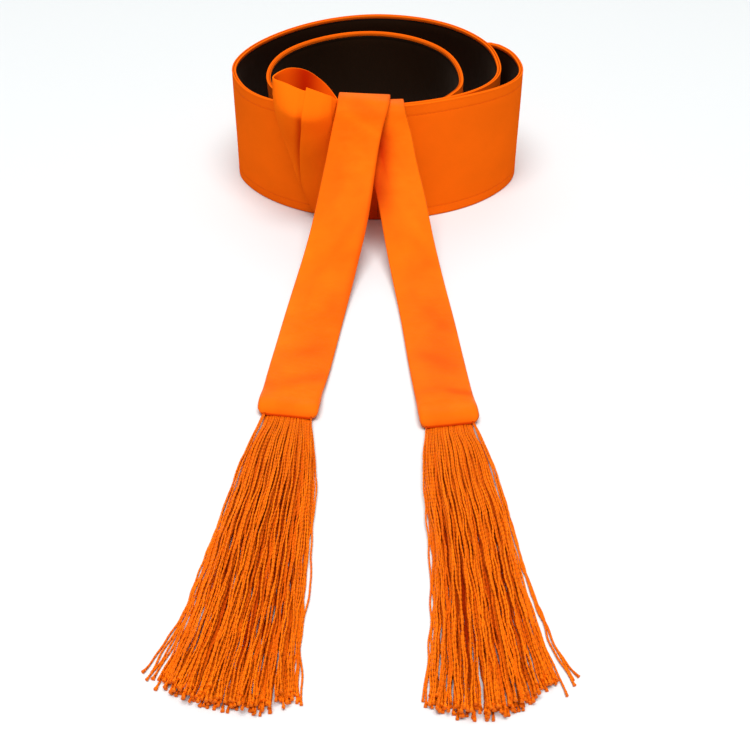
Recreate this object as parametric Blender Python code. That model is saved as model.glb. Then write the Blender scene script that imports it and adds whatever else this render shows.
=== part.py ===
"""Satin belt, rolled up and stood on its edge.

A wide satin band with a smooth black lining is wound two and a third times and stands on its lower
edge.  Two narrow satin ties pass over its front rim, slope down to the floor and lie forward on it.
Each ends in a padded hem with a fringe.  A half bow with one knife pleat hangs at the front left.

Sizes are in millimetres and become metres in make_object.  Before the last step the roll's front
touches y = 0, +X is to the right, and the ties run towards -Y on the floor z = 0.  The last step
moves everything so that the origin lies on the floor under the middle of the belt.
"""

import math

import bmesh
import bpy
import numpy as np

MM = 0.001
SEAM = 0.3

# Band: a satin face turned over both edges of a black lining.
BAND_HEIGHT = 84.0
BAND_THICKNESS = 2.8
FACE_THICKNESS = 1.2
TURNED_EDGE = 1.6
EDGE_ROUNDING = 0.6
FOOT_RADIUS = 109.8
ROLL_CENTRE = (2.0, 110.0)
RING_STEP = 9.0
TANGENT_STEP = 0.1
LEAN_STARTS_AT = 50.0
LEAN_FULL_AT = 95.0
FULL_TURN = 360.0
LEAN_TABLE_STARTS = 10.0
FINE_STEPS = 400
SHARP_FOLD = 40.0

# Ties, bow and fringe.
BOW_WALL = 1.2
BOW_SEAT = 0.6
BOW_FULLNESS = 0.8
BOW_FRONT_GAP = 1.6
BOW_BACK_GAP = 0.8
BOW_POINTS_AROUND = 26
BOW_RINGS = 11
PLEAT_STARTS, PLEAT_ENDS = 0.47, 0.90
PLEAT_COLUMNS = 9
TIE_RING_STEP = 9.0
TIE_RING_LEAST = 1.2
TIE_BEND_ROWS = 8
TIE_HEM_ROWS = 4
FRINGE_COLUMNS = 20
FRINGE_LAYERS = 4
FRINGE_BEND_POINTS = 4
FRINGE_SEED = 7
FAN_SPREAD = 0.72
CORD_SHORTER, CORD_LONGER, CORD_SWAY = 4.0, 3.0, 0.35
HEADING_WIDTH = 27.6
HEADING_DEPTH = 2.4
HEADING_GAP = 0.5
HEADING_FOOT = 0.3
# Height of the lowest layer of cords, and the step to the next: at the heading, midway, at the ends.
CORD_HEIGHTS = ((1.0, 1.4), (2.0, 2.3), (1.2, 1.9))
# A cord's radius at shares of its length.
CORD_RADII = ((0.0, 0.42), (0.25, 0.62), (1.0, 0.86))

# Colours from the belt: lit satin, shaded satin of the fringe cords, and the lining.
ORANGE = (0.99, 0.20, 0.012)
CORD_ORANGE = (0.95, 0.19, 0.010)
BLACK = (0.010, 0.006, 0.004)

# The band seen from above: where it is, how far round it has turned, and the radius of its upper
# outer edge.  One turn is 360 degrees, and -90 is the front.
ROLL = (
    ("outer end", 27.0, 93.3), ("right back", 17.0, 95.0), ("right back", 8.0, 100.0), ("right", -7.0, 106.6),
    ("right", -22.0, 112.6), ("right front", -35.0, 112.4), ("right front", -47.0, 108.6),
    ("front", -60.0, 105.9), ("front", -74.0, 106.3), ("front", -90.0, 108.9),
    ("front", -108.0, 114.2), ("left front", -125.0, 119.8), ("left front", -138.0, 120.0),
    ("left", -151.0, 115.6), ("left", -164.0, 110.9), ("left", -180.0, 103.5),
    ("left back", -198.0, 96.8), ("left back", -216.0, 93.6), ("back", -235.0, 94.4),
    ("back", -252.0, 97.2), ("back", -268.0, 99.3), ("back", -285.0, 98.2),
    ("right back", -305.0, 94.6), ("right back", -325.0, 90.4), ("right", -350.0, 89.0),
    ("right", -368.0, 91.4), ("right", -384.0, 97.4), ("right front", -400.0, 101.8),
    ("front", -420.0, 102.6), ("front", -434.0, 103.0), ("front", -450.0, 105.6),
    ("front", -468.0, 110.2), ("left front", -485.0, 109.0), ("left front", -499.0, 101.4),
    ("left", -514.0, 89.6), ("left", -530.0, 79.2), ("left back", -550.0, 70.0),
    ("left back", -572.0, 62.6), ("back", -598.0, 58.2), ("back", -625.0, 55.6),
    ("back", -650.0, 52.0), ("right back", -678.0, 49.8), ("right", -706.0, 52.0),
    ("right", -726.0, 57.2), ("right", -744.0, 66.2), ("right front", -758.0, 78.0),
    ("right front", -769.0, 90.0), ("front", -780.0, 98.4), ("front", -794.0, 99.7),
    ("inner end", -810.0, 102.3),
)

# Where, turned angle, and how far the rim stands out from the wall's foot (below nothing: it leans in).
LEAN = (
    ("right back", 10.0, 0.0), ("right", -8.0, 0.4), ("right", -22.0, 3.0),
    ("right front", -35.0, 2.7), ("right front", -49.0, -1.8), ("front", -62.0, -4.0),
    ("front", -76.0, -3.2), ("front", -90.0, -0.9), ("front", -108.0, 4.4),
    ("left front", -125.0, 10.0), ("left front", -138.0, 10.2), ("left", -151.0, 5.6),
    ("left", -166.0, 0.8), ("left", -185.0, 0.0),
)

# Both ends of the band narrow towards the ties: where, turned angle, and how far the rim is lowered.
TAPER = (
    ("outer end", 27.0, 5.0), ("right back", 21.0, 1.8), ("right back", 14.0, 0.0),
    ("right front", -776.0, 0.0), ("front", -785.0, 2.4), ("front", -794.0, 8.0),
    ("inner end", -810.0, 22.0),
)

# Three stretches of the band, each from one turned angle to the next.
STRETCHES = (("outer", 27.0, -90.0), ("middle", -90.0, -450.0), ("inner", -450.0, -810.0))

# The middle line of each tie: where it is, x, y, z, width, thickness, turn, tilt.  Turn swings its
# right edge forward, and tilt lets that edge down, in degrees.
LEFT_TIE = (
    ("inside the roll", -4.6, 20.6, 30.0, 33.0, 2.4, -3.0, 0.0),
    ("inside the roll", -5.4, 20.2, 60.0, 33.6, 2.4, -3.0, 0.0),
    ("inside the roll", -6.0, 18.6, 72.0, 34.2, 2.4, -3.0, 1.0),
    ("inner bend", -6.6, 15.6, 83.4, 34.6, 2.4, -2.0, 1.6),
    ("inner bend", -6.8, 13.4, 87.2, 34.8, 2.4, -2.0, 2.0),
    ("over the rim", -7.0, 9.4, 89.5, 35.0, 2.4, -1.0, 3.4),
    ("over the rim", -7.2, 4.0, 90.2, 35.0, 2.4, 0.0, 5.0),
    ("front bend", -7.8, -3.4, 89.1, 35.0, 2.4, 0.5, 4.0),
    ("front bend", -8.8, -8.4, 85.4, 34.6, 2.4, 1.0, 3.0),
    ("slope", -10.6, -12.4, 79.4, 34.2, 2.6, 1.5, 2.0),
    ("slope", -15.0, -24.6, 61.4, 34.0, 2.6, 2.5, 1.0),
    ("slope", -19.2, -41.0, 42.4, 35.6, 2.6, 3.5, 0.0),
    ("slope", -23.6, -61.0, 25.8, 36.6, 2.6, 4.5, 0.0),
    ("slope", -28.8, -84.5, 12.8, 37.0, 2.6, 5.0, 0.0),
    ("meets the floor", -33.6, -111.0, 4.9, 37.4, 2.6, 5.5, 0.0),
    ("meets the floor", -37.6, -141.0, 1.75, 37.2, 2.8, 5.5, 0.0),
    ("floor", -41.6, -180.0, 1.6, 36.4, 3.2, 6.0, 0.0),
    ("floor", -45.2, -215.0, 2.0, 35.2, 4.0, 7.0, 0.0),
    ("hem", -46.8, -232.0, 2.8, 34.2, 5.6, 8.5, 0.0),
    ("hem", -47.6, -243.0, 3.6, 34.6, 7.2, 9.5, 0.0),
    ("hem", -47.9, -247.0, 3.5, 33.6, 7.0, 9.5, 0.0),
    ("hem end", -48.1, -249.6, 3.3, 30.6, 4.8, 9.5, 0.0),
)
RIGHT_TIE = (
    ("inside the roll", 3.2, 17.0, 28.0, 32.0, 2.4, -6.0, 0.0),
    ("inside the roll", 3.2, 16.6, 60.0, 32.4, 2.4, -6.0, 0.0),
    ("inside the roll", 3.2, 14.8, 72.0, 32.8, 2.4, -6.0, 0.0),
    ("inner bend", 3.2, 10.9, 83.2, 33.0, 2.4, -6.0, 0.0),
    ("inner bend", 3.2, 9.7, 84.9, 33.0, 2.4, -6.0, 0.0),
    ("over the rim", 3.2, 7.4, 85.6, 33.0, 2.4, -5.0, 0.0),
    ("over the rim", 3.4, 2.0, 85.6, 33.0, 2.4, -3.0, 0.0),
    ("front bend", 3.8, -2.6, 84.2, 33.0, 2.4, 0.0, 0.0),
    ("front bend", 4.8, -5.6, 80.2, 33.0, 2.4, 0.0, 0.0),
    ("slope", 7.0, -9.0, 73.4, 33.0, 2.6, -0.5, 0.0),
    ("slope", 11.2, -20.0, 57.0, 32.6, 2.6, -1.5, 0.0),
    ("slope", 16.8, -37.0, 38.4, 32.4, 2.6, -2.5, 0.0),
    ("slope", 21.2, -57.0, 22.2, 32.6, 2.6, -3.5, 0.0),
    ("slope", 25.3, -82.0, 10.0, 33.0, 2.6, -4.5, 0.0),
    ("meets the floor", 29.0, -110.0, 3.6, 33.0, 2.6, -5.0, 0.0),
    ("meets the floor", 32.0, -140.0, 1.6, 33.0, 2.8, -5.0, 0.0),
    ("floor", 34.9, -180.0, 1.6, 33.0, 3.2, -5.0, 0.0),
    ("floor", 38.0, -222.0, 1.9, 32.8, 3.8, -6.0, 0.0),
    ("hem", 39.6, -241.0, 2.8, 33.0, 5.6, -8.0, 0.0),
    ("hem", 40.4, -252.0, 3.6, 33.6, 7.2, -10.0, 0.0),
    ("hem", 40.8, -256.0, 3.5, 32.6, 7.0, -10.0, 0.0),
    ("hem end", 41.0, -258.6, 3.3, 29.6, 4.8, -10.0, 0.0),
)

# Rounded flat section of a tie, as shares of half its width and half its thickness.
TIE_SECTION = (
    (-1.0, 0.0), (-0.965, -0.75), (-0.90, -1.0), (0.0, -1.0), (0.90, -1.0), (0.965, -0.75),
    (1.0, 0.0), (0.965, 0.75), (0.90, 1.0), (0.0, 1.0), (-0.90, 1.0), (-0.965, 0.75),
)

# The bow's open upper rim, from its right end along the near side to the left bend and back: where,
# x, y, z.
BOW_RIM = (
    ("right end", -26.0, -2.0, 89.2), ("near", -28.5, -7.5, 93.8), ("near", -34.0, -11.5, 97.6),
    ("near", -41.0, -13.6, 100.2), ("near", -48.5, -13.8, 101.6), ("near", -55.5, -11.4, 103.0),
    ("near", -62.0, -7.2, 104.6), ("left bend", -68.0, -1.2, 105.8), ("far", -67.0, 5.8, 107.4),
    ("far", -61.0, 9.2, 108.8), ("far", -53.0, 10.0, 108.4), ("far", -44.0, 9.4, 105.6),
    ("far", -36.0, 7.4, 100.8), ("far", -29.0, 3.8, 94.8),
)

# The bow from its rim down to its pinched foot: height at the left, at the right, how far left and
# right it reaches, and how far its near side stands off the band.
BOW_SECTIONS = (
    ("at the band's rim", 87.0, 82.5, -68.8, -26.0, 16.5),
    ("under the rim", 78.0, 73.0, -68.2, -25.8, 16.5),
    ("upper", 67.0, 62.0, -65.6, -24.6, 16.0),
    ("middle", 45.0, 43.0, -59.2, -24.4, 14.5),
    ("lower", 22.0, 22.0, -52.6, -27.0, 11.0),
    ("pinch", 5.0, 5.0, -41.5, -30.0, 7.0),
)

# The ends of each fringe's cords on the floor, from its left edge to its right: where, x, y.
LEFT_FRINGE = (
    ("left edge", -89.0, -448.0), ("left middle", -69.0, -463.0),
    ("right middle", -47.0, -468.0), ("right edge", -32.5, -459.0),
)
RIGHT_FRINGE = (
    ("left edge", 24.0, -461.0), ("left middle", 40.0, -468.5),
    ("right middle", 60.0, -465.0), ("right edge", 78.0, -449.0),
)


def smooth(stations, columns, at):
    """Natural cubic spline through every column, read at the stations in at.

    The second derivatives solve the usual three-diagonal system, with none at the two ends.
    """
    x = np.asarray(stations, float)
    y = np.asarray(columns, float).reshape(len(x), -1)
    h = np.diff(x)
    system = np.eye(len(x))
    right_side = np.zeros_like(y)
    for row in range(1, len(x) - 1):
        system[row, row - 1] = h[row - 1]
        system[row, row] = 2.0 * (h[row - 1] + h[row])
        system[row, row + 1] = h[row]
        rise = (y[row + 1] - y[row]) / h[row] - (y[row] - y[row - 1]) / h[row - 1]
        right_side[row] = 6.0 * rise
    bend = np.linalg.solve(system, right_side)
    at = np.asarray(at, float)
    k = np.clip(np.searchsorted(x, at) - 1, 0, len(h) - 1)
    a = ((x[k + 1] - at) / h[k])[:, None]
    b = 1.0 - a
    curve = (a**3 - a) * bend[k] + (b**3 - b) * bend[k + 1]
    return a * y[k] + b * y[k + 1] + curve * (h[k] ** 2 / 6.0)[:, None]


def even_stations(points, step):
    """Share of the way along a line of points, from 0 to 1, and how many steps fit on it."""
    length = np.concatenate(([0.0], np.cumsum(np.linalg.norm(np.diff(points, axis=0), axis=1))))
    return length / length[-1], max(2, round(length[-1] / step))


def make_material(name, colour, roughness):
    material = bpy.data.materials.new(name)
    material.use_nodes = True
    shader = material.node_tree.nodes["Principled BSDF"]
    shader.inputs["Base Color"].default_value = (*colour, 1.0)
    shader.inputs["Roughness"].default_value = roughness
    shader.inputs["Metallic"].default_value = 0.0
    return material


def make_object(name, points, faces, material):
    """One named object from points in millimetres, with its faces turned outwards."""
    mesh = bpy.data.meshes.new(name)
    mesh.from_pydata((np.asarray(points) * MM).tolist(), [], faces)
    work = bmesh.new()
    work.from_mesh(mesh)
    bmesh.ops.recalc_face_normals(work, faces=work.faces)
    work.to_mesh(mesh)
    work.free()
    mesh.shade_smooth()
    mesh.set_sharp_from_angle(angle=math.radians(SHARP_FOLD))
    mesh.materials.append(material)
    item = bpy.data.objects.new(name, mesh)
    bpy.context.collection.objects.link(item)
    return item


def ring_faces(ring_count, ring_size, first=0):
    """Quads between neighbouring rings of points."""
    faces = []
    for ring in range(ring_count - 1):
        low = first + ring * ring_size
        for here in range(ring_size):
            there = (here + 1) % ring_size
            faces.append((low + here, low + there, low + ring_size + there, low + ring_size + here))
    return faces


def capped_faces(ring_count, ring_size):
    """The quads between rings, with both ends closed."""
    last = (ring_count - 1) * ring_size
    ends = [tuple(range(ring_size)), tuple(range(last, last + ring_size))]
    return ring_faces(ring_count, ring_size) + ends


def wall_faces(ring_count, height):
    """Triangles between rings, every one cut from its upper point behind to its lower point ahead.

    All layers of a leaning wall then have the same facets, so they stay the same distance apart.
    """
    size = len(height)
    faces = []
    for behind, ahead, over, beyond in ring_faces(ring_count, size):
        if height[ahead % size] > height[behind % size]:
            faces += [(behind, ahead, beyond), (ahead, over, beyond)]
        else:
            faces += [(behind, ahead, over), (behind, over, beyond)]
    last = (ring_count - 1) * size
    return faces + [tuple(range(size)), tuple(range(last, last + size))]


def band_line(angles):
    """Foot and rim of the band's outer face, as points on the floor plan, at turned angles."""
    table_angle = [-row[1] for row in ROLL]
    rim = smooth(table_angle, [row[2] for row in ROLL], -angles)[:, 0]
    lean = lean_at(angles) * np.clip((rim - LEAN_STARTS_AT) / (LEAN_FULL_AT - LEAN_STARTS_AT), 0, 1)
    way = np.stack((np.cos(np.radians(angles)), np.sin(np.radians(angles))), axis=1)
    centre = np.asarray(ROLL_CENTRE)
    return centre + way * (rim - lean)[:, None], centre + way * rim[:, None]


def lean_at(angles):
    """How far the rim stands out at turned angles; nothing behind the table's two ends."""
    turned = np.mod(LEAN_TABLE_STARTS - np.asarray(angles, float), FULL_TURN)
    within = LEAN_TABLE_STARTS - turned
    table_angle = np.array([-row[1] for row in LEAN])
    lean = smooth(table_angle, [row[2] for row in LEAN], np.clip(-within, table_angle[0], table_angle[-1]))
    return lean[:, 0]


def stretch_angles(start, end):
    """Turned angles at even steps along the band, clear of its neighbours by half a seam."""
    fine = np.linspace(start, end, FINE_STEPS)
    share, steps = even_stations(band_line(fine)[1], RING_STEP)
    half_seam = math.degrees(0.5 * SEAM / FOOT_RADIUS)
    fine = np.linspace(start - half_seam, end + half_seam, FINE_STEPS)
    return np.interp(np.linspace(0.0, 1.0, steps + 1), share, fine)


def wall_points(angles, profile):
    """Profile (depth behind the outer face, height) carried along the band, upright and leaning."""
    foot, rim = band_line(angles)
    along = band_line(angles - 0.5 * TANGENT_STEP)[1] - band_line(angles + 0.5 * TANGENT_STEP)[1]
    along /= np.linalg.norm(along, axis=1)[:, None]
    outward = np.stack((-along[:, 1], along[:, 0]), axis=1)
    depth = np.array([row[0] for row in profile])
    height = np.array([row[1] for row in profile])
    lowered = np.interp(-angles, [-row[1] for row in TAPER], [row[2] for row in TAPER])
    level = height[None, :] - np.where(height > 0.5 * BAND_HEIGHT, 1.0, 0.0) * lowered[:, None]
    share = (level / BAND_HEIGHT)[:, :, None]
    plan = foot[:, None] * (1.0 - share) + rim[:, None] * share - outward[:, None] * depth[None, :, None]
    return np.concatenate((plan, level[:, :, None]), axis=2)


def face_profile():
    """The satin: a wall turned in over the lining at the foot and at the rim."""
    round_off = EDGE_ROUNDING
    top = BAND_HEIGHT
    back = BAND_THICKNESS
    return (
        (round_off, 0.0), (0.0, round_off), (0.0, top - round_off), (round_off, top),
        (back - round_off, top), (back, top - round_off), (back, top - TURNED_EDGE),
        (FACE_THICKNESS, top - TURNED_EDGE), (FACE_THICKNESS, TURNED_EDGE), (back, TURNED_EDGE),
        (back, round_off), (back - round_off, 0.0),
    )


def lining_profile():
    """The lining: a flat wall behind the satin, a seam clear of it all round."""
    near = FACE_THICKNESS + SEAM
    low = TURNED_EDGE + SEAM
    high = BAND_HEIGHT - TURNED_EDGE - SEAM
    return ((near, low), (near, high), (BAND_THICKNESS, high), (BAND_THICKNESS, low))


def build_band(satin, lining):
    for name, start, end in STRETCHES:
        angles = stretch_angles(start, end)
        for part, profile, material in (
            ("face", face_profile(), satin),
            ("lining", lining_profile(), lining),
        ):
            points = wall_points(angles, profile)
            faces = wall_faces(len(angles), [row[1] for row in profile])
            make_object(f"{part}_{name}", points.reshape(-1, 3), faces, material)


def tie_points(table):
    """Rings of a tie: its section set square to the middle line, at even steps along it."""
    rows = np.array([row[1:] for row in table], float)
    coarse = np.concatenate(([0.0], np.cumsum(np.linalg.norm(np.diff(rows[:, :3], axis=0), axis=1))))
    steps = round(coarse[-1] / TIE_RING_STEP)
    even = np.linspace(0.0, coarse[-1], steps + 1)
    bends, hem = coarse[1:TIE_BEND_ROWS], coarse[-TIE_HEM_ROWS:]
    stations = np.unique(np.concatenate((even[even < hem[0]], bends, hem)))
    keep = np.concatenate(([True], np.diff(stations) > TIE_RING_LEAST))
    stations = stations[keep]
    line = smooth(coarse, rows, stations)
    beyond, behind = stations + 0.5 * TANGENT_STEP, stations - 0.5 * TANGENT_STEP
    ahead = smooth(coarse, rows[:, :3], beyond) - smooth(coarse, rows[:, :3], behind)
    ahead /= np.linalg.norm(ahead, axis=1)[:, None]
    turn, tilt = np.radians(line[:, 5]), np.radians(line[:, 6])
    across = np.stack((np.cos(turn) * np.cos(tilt), -np.sin(turn) * np.cos(tilt), -np.sin(tilt)), axis=1)
    up = np.cross(across, ahead)
    up /= np.linalg.norm(up, axis=1)[:, None]
    section = np.array(TIE_SECTION)
    sideways = across[:, None] * (section[None, :, :1] * line[:, None, 3:4] * 0.5)
    upwards = up[:, None] * (section[None, :, 1:] * line[:, None, 4:5] * 0.5)
    points = line[:, None, :3] + sideways + upwards
    points[:, :, 2] = np.maximum(points[:, :, 2], 0.0)
    return points


def build_tie(name, table, satin):
    points = tie_points(table)
    faces = capped_faces(points.shape[0], points.shape[1])
    make_object(name, points.reshape(-1, 3), faces, satin)


def front_of_band(x, z):
    """Distance back from y = 0 to the band's outer face, at a place across and up its front."""
    angle = -np.degrees(np.arccos((x - ROLL_CENTRE[0]) / FOOT_RADIUS))
    radius = FOOT_RADIUS + lean_at(angle) * np.clip(z / BAND_HEIGHT, 0.0, 1.0)
    return ROLL_CENTRE[1] - np.sqrt(radius**2 - (x - ROLL_CENTRE[0]) ** 2)


def bow_rings():
    """Middle surface of the bow: its rim, then narrower rings down to the pinch."""
    rim = np.array([row[1:] for row in BOW_RIM])
    turns = len(rim)
    around = np.arange(BOW_POINTS_AROUND) * turns / BOW_POINTS_AROUND
    wrapped = np.vstack((rim[-3:], rim, rim[:4]))
    top = smooth(np.arange(-3.0, turns + 4.0), wrapped, around)
    left, right = top[:, 0].min(), top[:, 0].max()
    share = (top[:, 0] - left) / (right - left)
    near_side = around <= turns / 2.0
    bulge = np.sin(np.pi * np.clip(share, 0.0, 1.0)) ** BOW_FULLNESS
    rings = [top]
    for _, z_left, z_right, x_left, x_right, stand_off in BOW_SECTIONS:
        x = x_left + (x_right - x_left) * share
        z = z_left + (z_right - z_left) * share
        back = front_of_band(x, z) - BOW_SEAT - 0.5 * BOW_WALL
        near = back - BOW_FRONT_GAP - stand_off * bulge
        far = back - BOW_BACK_GAP * (1.0 - bulge)
        y = np.where(near_side, near, far)
        rings.append(np.stack((x, y, z), axis=1))
    return np.array(rings)


def surface_normals(rings):
    """Outward normals of closed rings of points, from the differences round them and down them."""
    along = np.roll(rings, -1, axis=1) - np.roll(rings, 1, axis=1)
    normal = np.cross(along, np.gradient(rings, axis=0))
    return normal / np.linalg.norm(normal, axis=2)[:, :, None]


def refine_down(rings, count):
    """The same surface with more rings, evenly spaced from its rim to its foot."""
    stations = np.arange(len(rings), dtype=float)
    flat = smooth(stations, rings.reshape(len(rings), -1), np.linspace(0.0, stations[-1], count))
    return flat.reshape(count, rings.shape[1], 3)


def build_bow(satin):
    rings = refine_down(bow_rings(), BOW_RINGS)
    normal = surface_normals(rings)
    outer = rings + normal * (0.5 * BOW_WALL)
    inner = rings - normal * (0.5 * BOW_WALL)
    count, size = rings.shape[:2]
    stack = np.concatenate((outer, inner[::-1]))
    faces = ring_faces(2 * count, size)
    first_inner_end = (2 * count - 1) * size
    for here in range(size):
        there = (here + 1) % size
        faces.append((first_inner_end + here, first_inner_end + there, there, here))
    make_object("bow_loop", stack.reshape(-1, 3), faces, satin)
    build_pleat(rings, normal, satin)


def build_pleat(rings, normal, satin):
    """The knife pleat: a flat fold lying on the near side, right of the fold line."""
    near = slice(1, BOW_POINTS_AROUND // 2)
    panel, panel_normal = rings[:, near], normal[:, near]
    stations = np.linspace(0.0, 1.0, panel.shape[1])
    at = 1.0 - np.linspace(PLEAT_ENDS, PLEAT_STARTS, PLEAT_COLUMNS)
    grid = np.array([smooth(stations, row, at) for row in panel])
    way = np.array([smooth(stations, row, at) for row in panel_normal])
    way /= np.linalg.norm(way, axis=2)[:, :, None]
    under = grid + way * (0.5 * BOW_WALL + SEAM)
    over = under + way * BOW_WALL
    count, size = grid.shape[:2]
    loops = np.concatenate((under, over[:, ::-1]), axis=1)
    make_object("bow_pleat", loops.reshape(-1, 3), capped_faces(count, 2 * size), satin)


def heading_line(tie):
    """Left and right end of the heading's front, just ahead of the tie's end, and its way across."""
    _, x, y, _, _, _, turn, _ = tie[-1]
    across = np.array((math.cos(math.radians(turn)), -math.sin(math.radians(turn))))
    forward = np.array((across[1], -across[0]))
    middle = np.array((x, y)) + forward * (HEADING_GAP + HEADING_DEPTH)
    return middle - across * HEADING_WIDTH / 2.0, middle + across * HEADING_WIDTH / 2.0, across


def fringe_paths(tie, ends, seed):
    """Middle line of every cord, by layer and column, from the heading to its end.

    A cord leaves its place in the heading and eases over to its place in the fan of ends, while
    its layer rises in the middle and comes down towards the floor.
    """
    left, right, _ = heading_line(tie)
    place = ((np.arange(FRINGE_COLUMNS) + 0.5) / FRINGE_COLUMNS)[:, None]
    root = left + (right - left) * place
    rows = np.array([row[1:] for row in ends])
    tip = smooth(np.linspace(0.0, 1.0, len(rows)), rows, place[:, 0])
    chance = np.random.default_rng(seed)
    longer = chance.uniform(-CORD_SHORTER, CORD_LONGER, (FRINGE_LAYERS, FRINGE_COLUMNS, 1))
    sway = chance.uniform(-CORD_SWAY, CORD_SWAY, (FRINGE_LAYERS, FRINGE_COLUMNS, 1))
    along = np.linspace(0.0, 1.0, FRINGE_BEND_POINTS + 1)
    x = root[:, :1] + (tip[:, :1] - root[:, :1]) * along**FAN_SPREAD + sway * along
    y = root[:, 1:] + (tip[:, 1:] - root[:, 1:]) * along - longer * along
    layer = np.arange(FRINGE_LAYERS)
    heights = np.stack([low + step * layer for low, step in CORD_HEIGHTS], axis=1)
    z = smooth((0.0, 0.5, 1.0), heights.T, along).T[:, None, :]
    return np.stack((x, y, np.broadcast_to(z, x.shape)), axis=3)


def build_fringe(name, tie, ends, cords):
    """A heading strip whose front is a grid of cells, with a three-sided cord grown from each."""
    paths = fringe_paths(tie, ends, FRINGE_SEED)
    left, right, across = heading_line(tie)
    back = np.array((-across[1], across[0])) * HEADING_DEPTH
    points, faces = [], []

    def add(point):
        points.append(tuple(point))
        return len(points) - 1

    front, rear = {}, {}
    for column in range(FRINGE_COLUMNS + 1):
        place = left + (right - left) * column / FRINGE_COLUMNS
        for level in range(FRINGE_LAYERS + 1):
            z = HEADING_FOOT + CORD_HEIGHTS[0][1] * level
            front[column, level] = add((*place, z))
            if column in (0, FRINGE_COLUMNS) or level in (0, FRINGE_LAYERS):
                rear[column, level] = add((*(place + back), z))
    for column in range(FRINGE_COLUMNS):
        for level in (0, FRINGE_LAYERS):
            faces.append((front[column, level], front[column + 1, level],
                          rear[column + 1, level], rear[column, level]))
    for level in range(FRINGE_LAYERS):
        for column in (0, FRINGE_COLUMNS):
            faces.append((front[column, level], front[column, level + 1],
                          rear[column, level + 1], rear[column, level]))
    outline = [rear[column, 0] for column in range(FRINGE_COLUMNS + 1)]
    outline += [rear[FRINGE_COLUMNS, level] for level in range(1, FRINGE_LAYERS + 1)]
    outline += [rear[column, FRINGE_LAYERS] for column in range(FRINGE_COLUMNS - 1, -1, -1)]
    outline += [rear[0, level] for level in range(FRINGE_LAYERS - 1, 0, -1)]
    faces.append(tuple(outline))

    for level in range(FRINGE_LAYERS):
        for column in range(FRINGE_COLUMNS):
            corner = [front[column, level], front[column + 1, level],
                      front[column + 1, level + 1], front[column, level + 1]]
            middle = np.mean([points[index] for index in corner], axis=0)
            rings = cord_rings(paths[level, column], middle, across)
            index = [[add(point) for point in ring] for ring in rings]
            low_left, low_right, high = index[0]
            faces += [(corner[0], corner[1], low_right, low_left), (corner[1], corner[2], high, low_right),
                      (corner[2], corner[3], high), (corner[3], corner[0], low_left, high)]
            for here, there in zip(index[:-1], index[1:]):
                for side in range(3):
                    following = (side + 1) % 3
                    faces.append((here[side], here[following], there[following], there[side]))
            faces.append(tuple(index[-1]))
    make_object(name, points, faces, cords)


def cord_rings(path, root, across):
    """Triangles along one cord: thin where it leaves the heading, full by its middle."""
    share = np.linspace(0.0, 1.0, len(path))
    radius = np.interp(share, [row[0] for row in CORD_RADII], [row[1] for row in CORD_RADII])
    line = path.copy()
    line[0] = root
    side = np.array((across[0], across[1], 0.0)) * math.cos(math.radians(30.0))
    drop = np.array((0.0, 0.0, math.sin(math.radians(30.0))))
    top = np.array((0.0, 0.0, 1.0))
    corners = np.stack((-side - drop, side - drop, top))
    return line[:, None] + radius[:, None, None] * corners[None]


def stand_on_origin():
    """Move every mesh so that the origin lies on the floor under the middle of the whole belt."""
    items = [item for item in bpy.data.objects if item.type == "MESH"]
    corners = np.array([tuple(vertex.co) for item in items for vertex in item.data.vertices])
    low, high = corners.min(axis=0), corners.max(axis=0)
    shift = (-(low[0] + high[0]) / 2.0, -(low[1] + high[1]) / 2.0, -low[2])
    for item in items:
        coordinates = np.empty(len(item.data.vertices) * 3)
        item.data.vertices.foreach_get("co", coordinates)
        item.data.vertices.foreach_set("co", (coordinates.reshape(-1, 3) + shift).ravel())
        item.data.update()


def main():
    for item in list(bpy.data.objects):
        bpy.data.objects.remove(item, do_unlink=True)
    satin = make_material("orange_satin", ORANGE, 0.42)
    lining = make_material("black_lining", BLACK, 0.55)
    cords = make_material("orange_cord", CORD_ORANGE, 0.70)
    build_band(satin, lining)
    build_tie("tie_left", LEFT_TIE, satin)
    build_tie("tie_right", RIGHT_TIE, satin)
    build_bow(satin)
    build_fringe("fringe_left", LEFT_TIE, LEFT_FRINGE, cords)
    build_fringe("fringe_right", RIGHT_TIE, RIGHT_FRINGE, cords)
    stand_on_origin()


main()
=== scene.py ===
"""Satin belt, rolled up on its lower edge: the cloth, cords and finish that dress its solids.

Sizes are in millimetres, in the belt's own layout: the front of the roll touches y = 0, +X is to the
right, and the ties run towards -Y on the floor z = 0.  add_rings turns them into metres and moves
each piece to its place on the solids.
"""

import math

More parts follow.
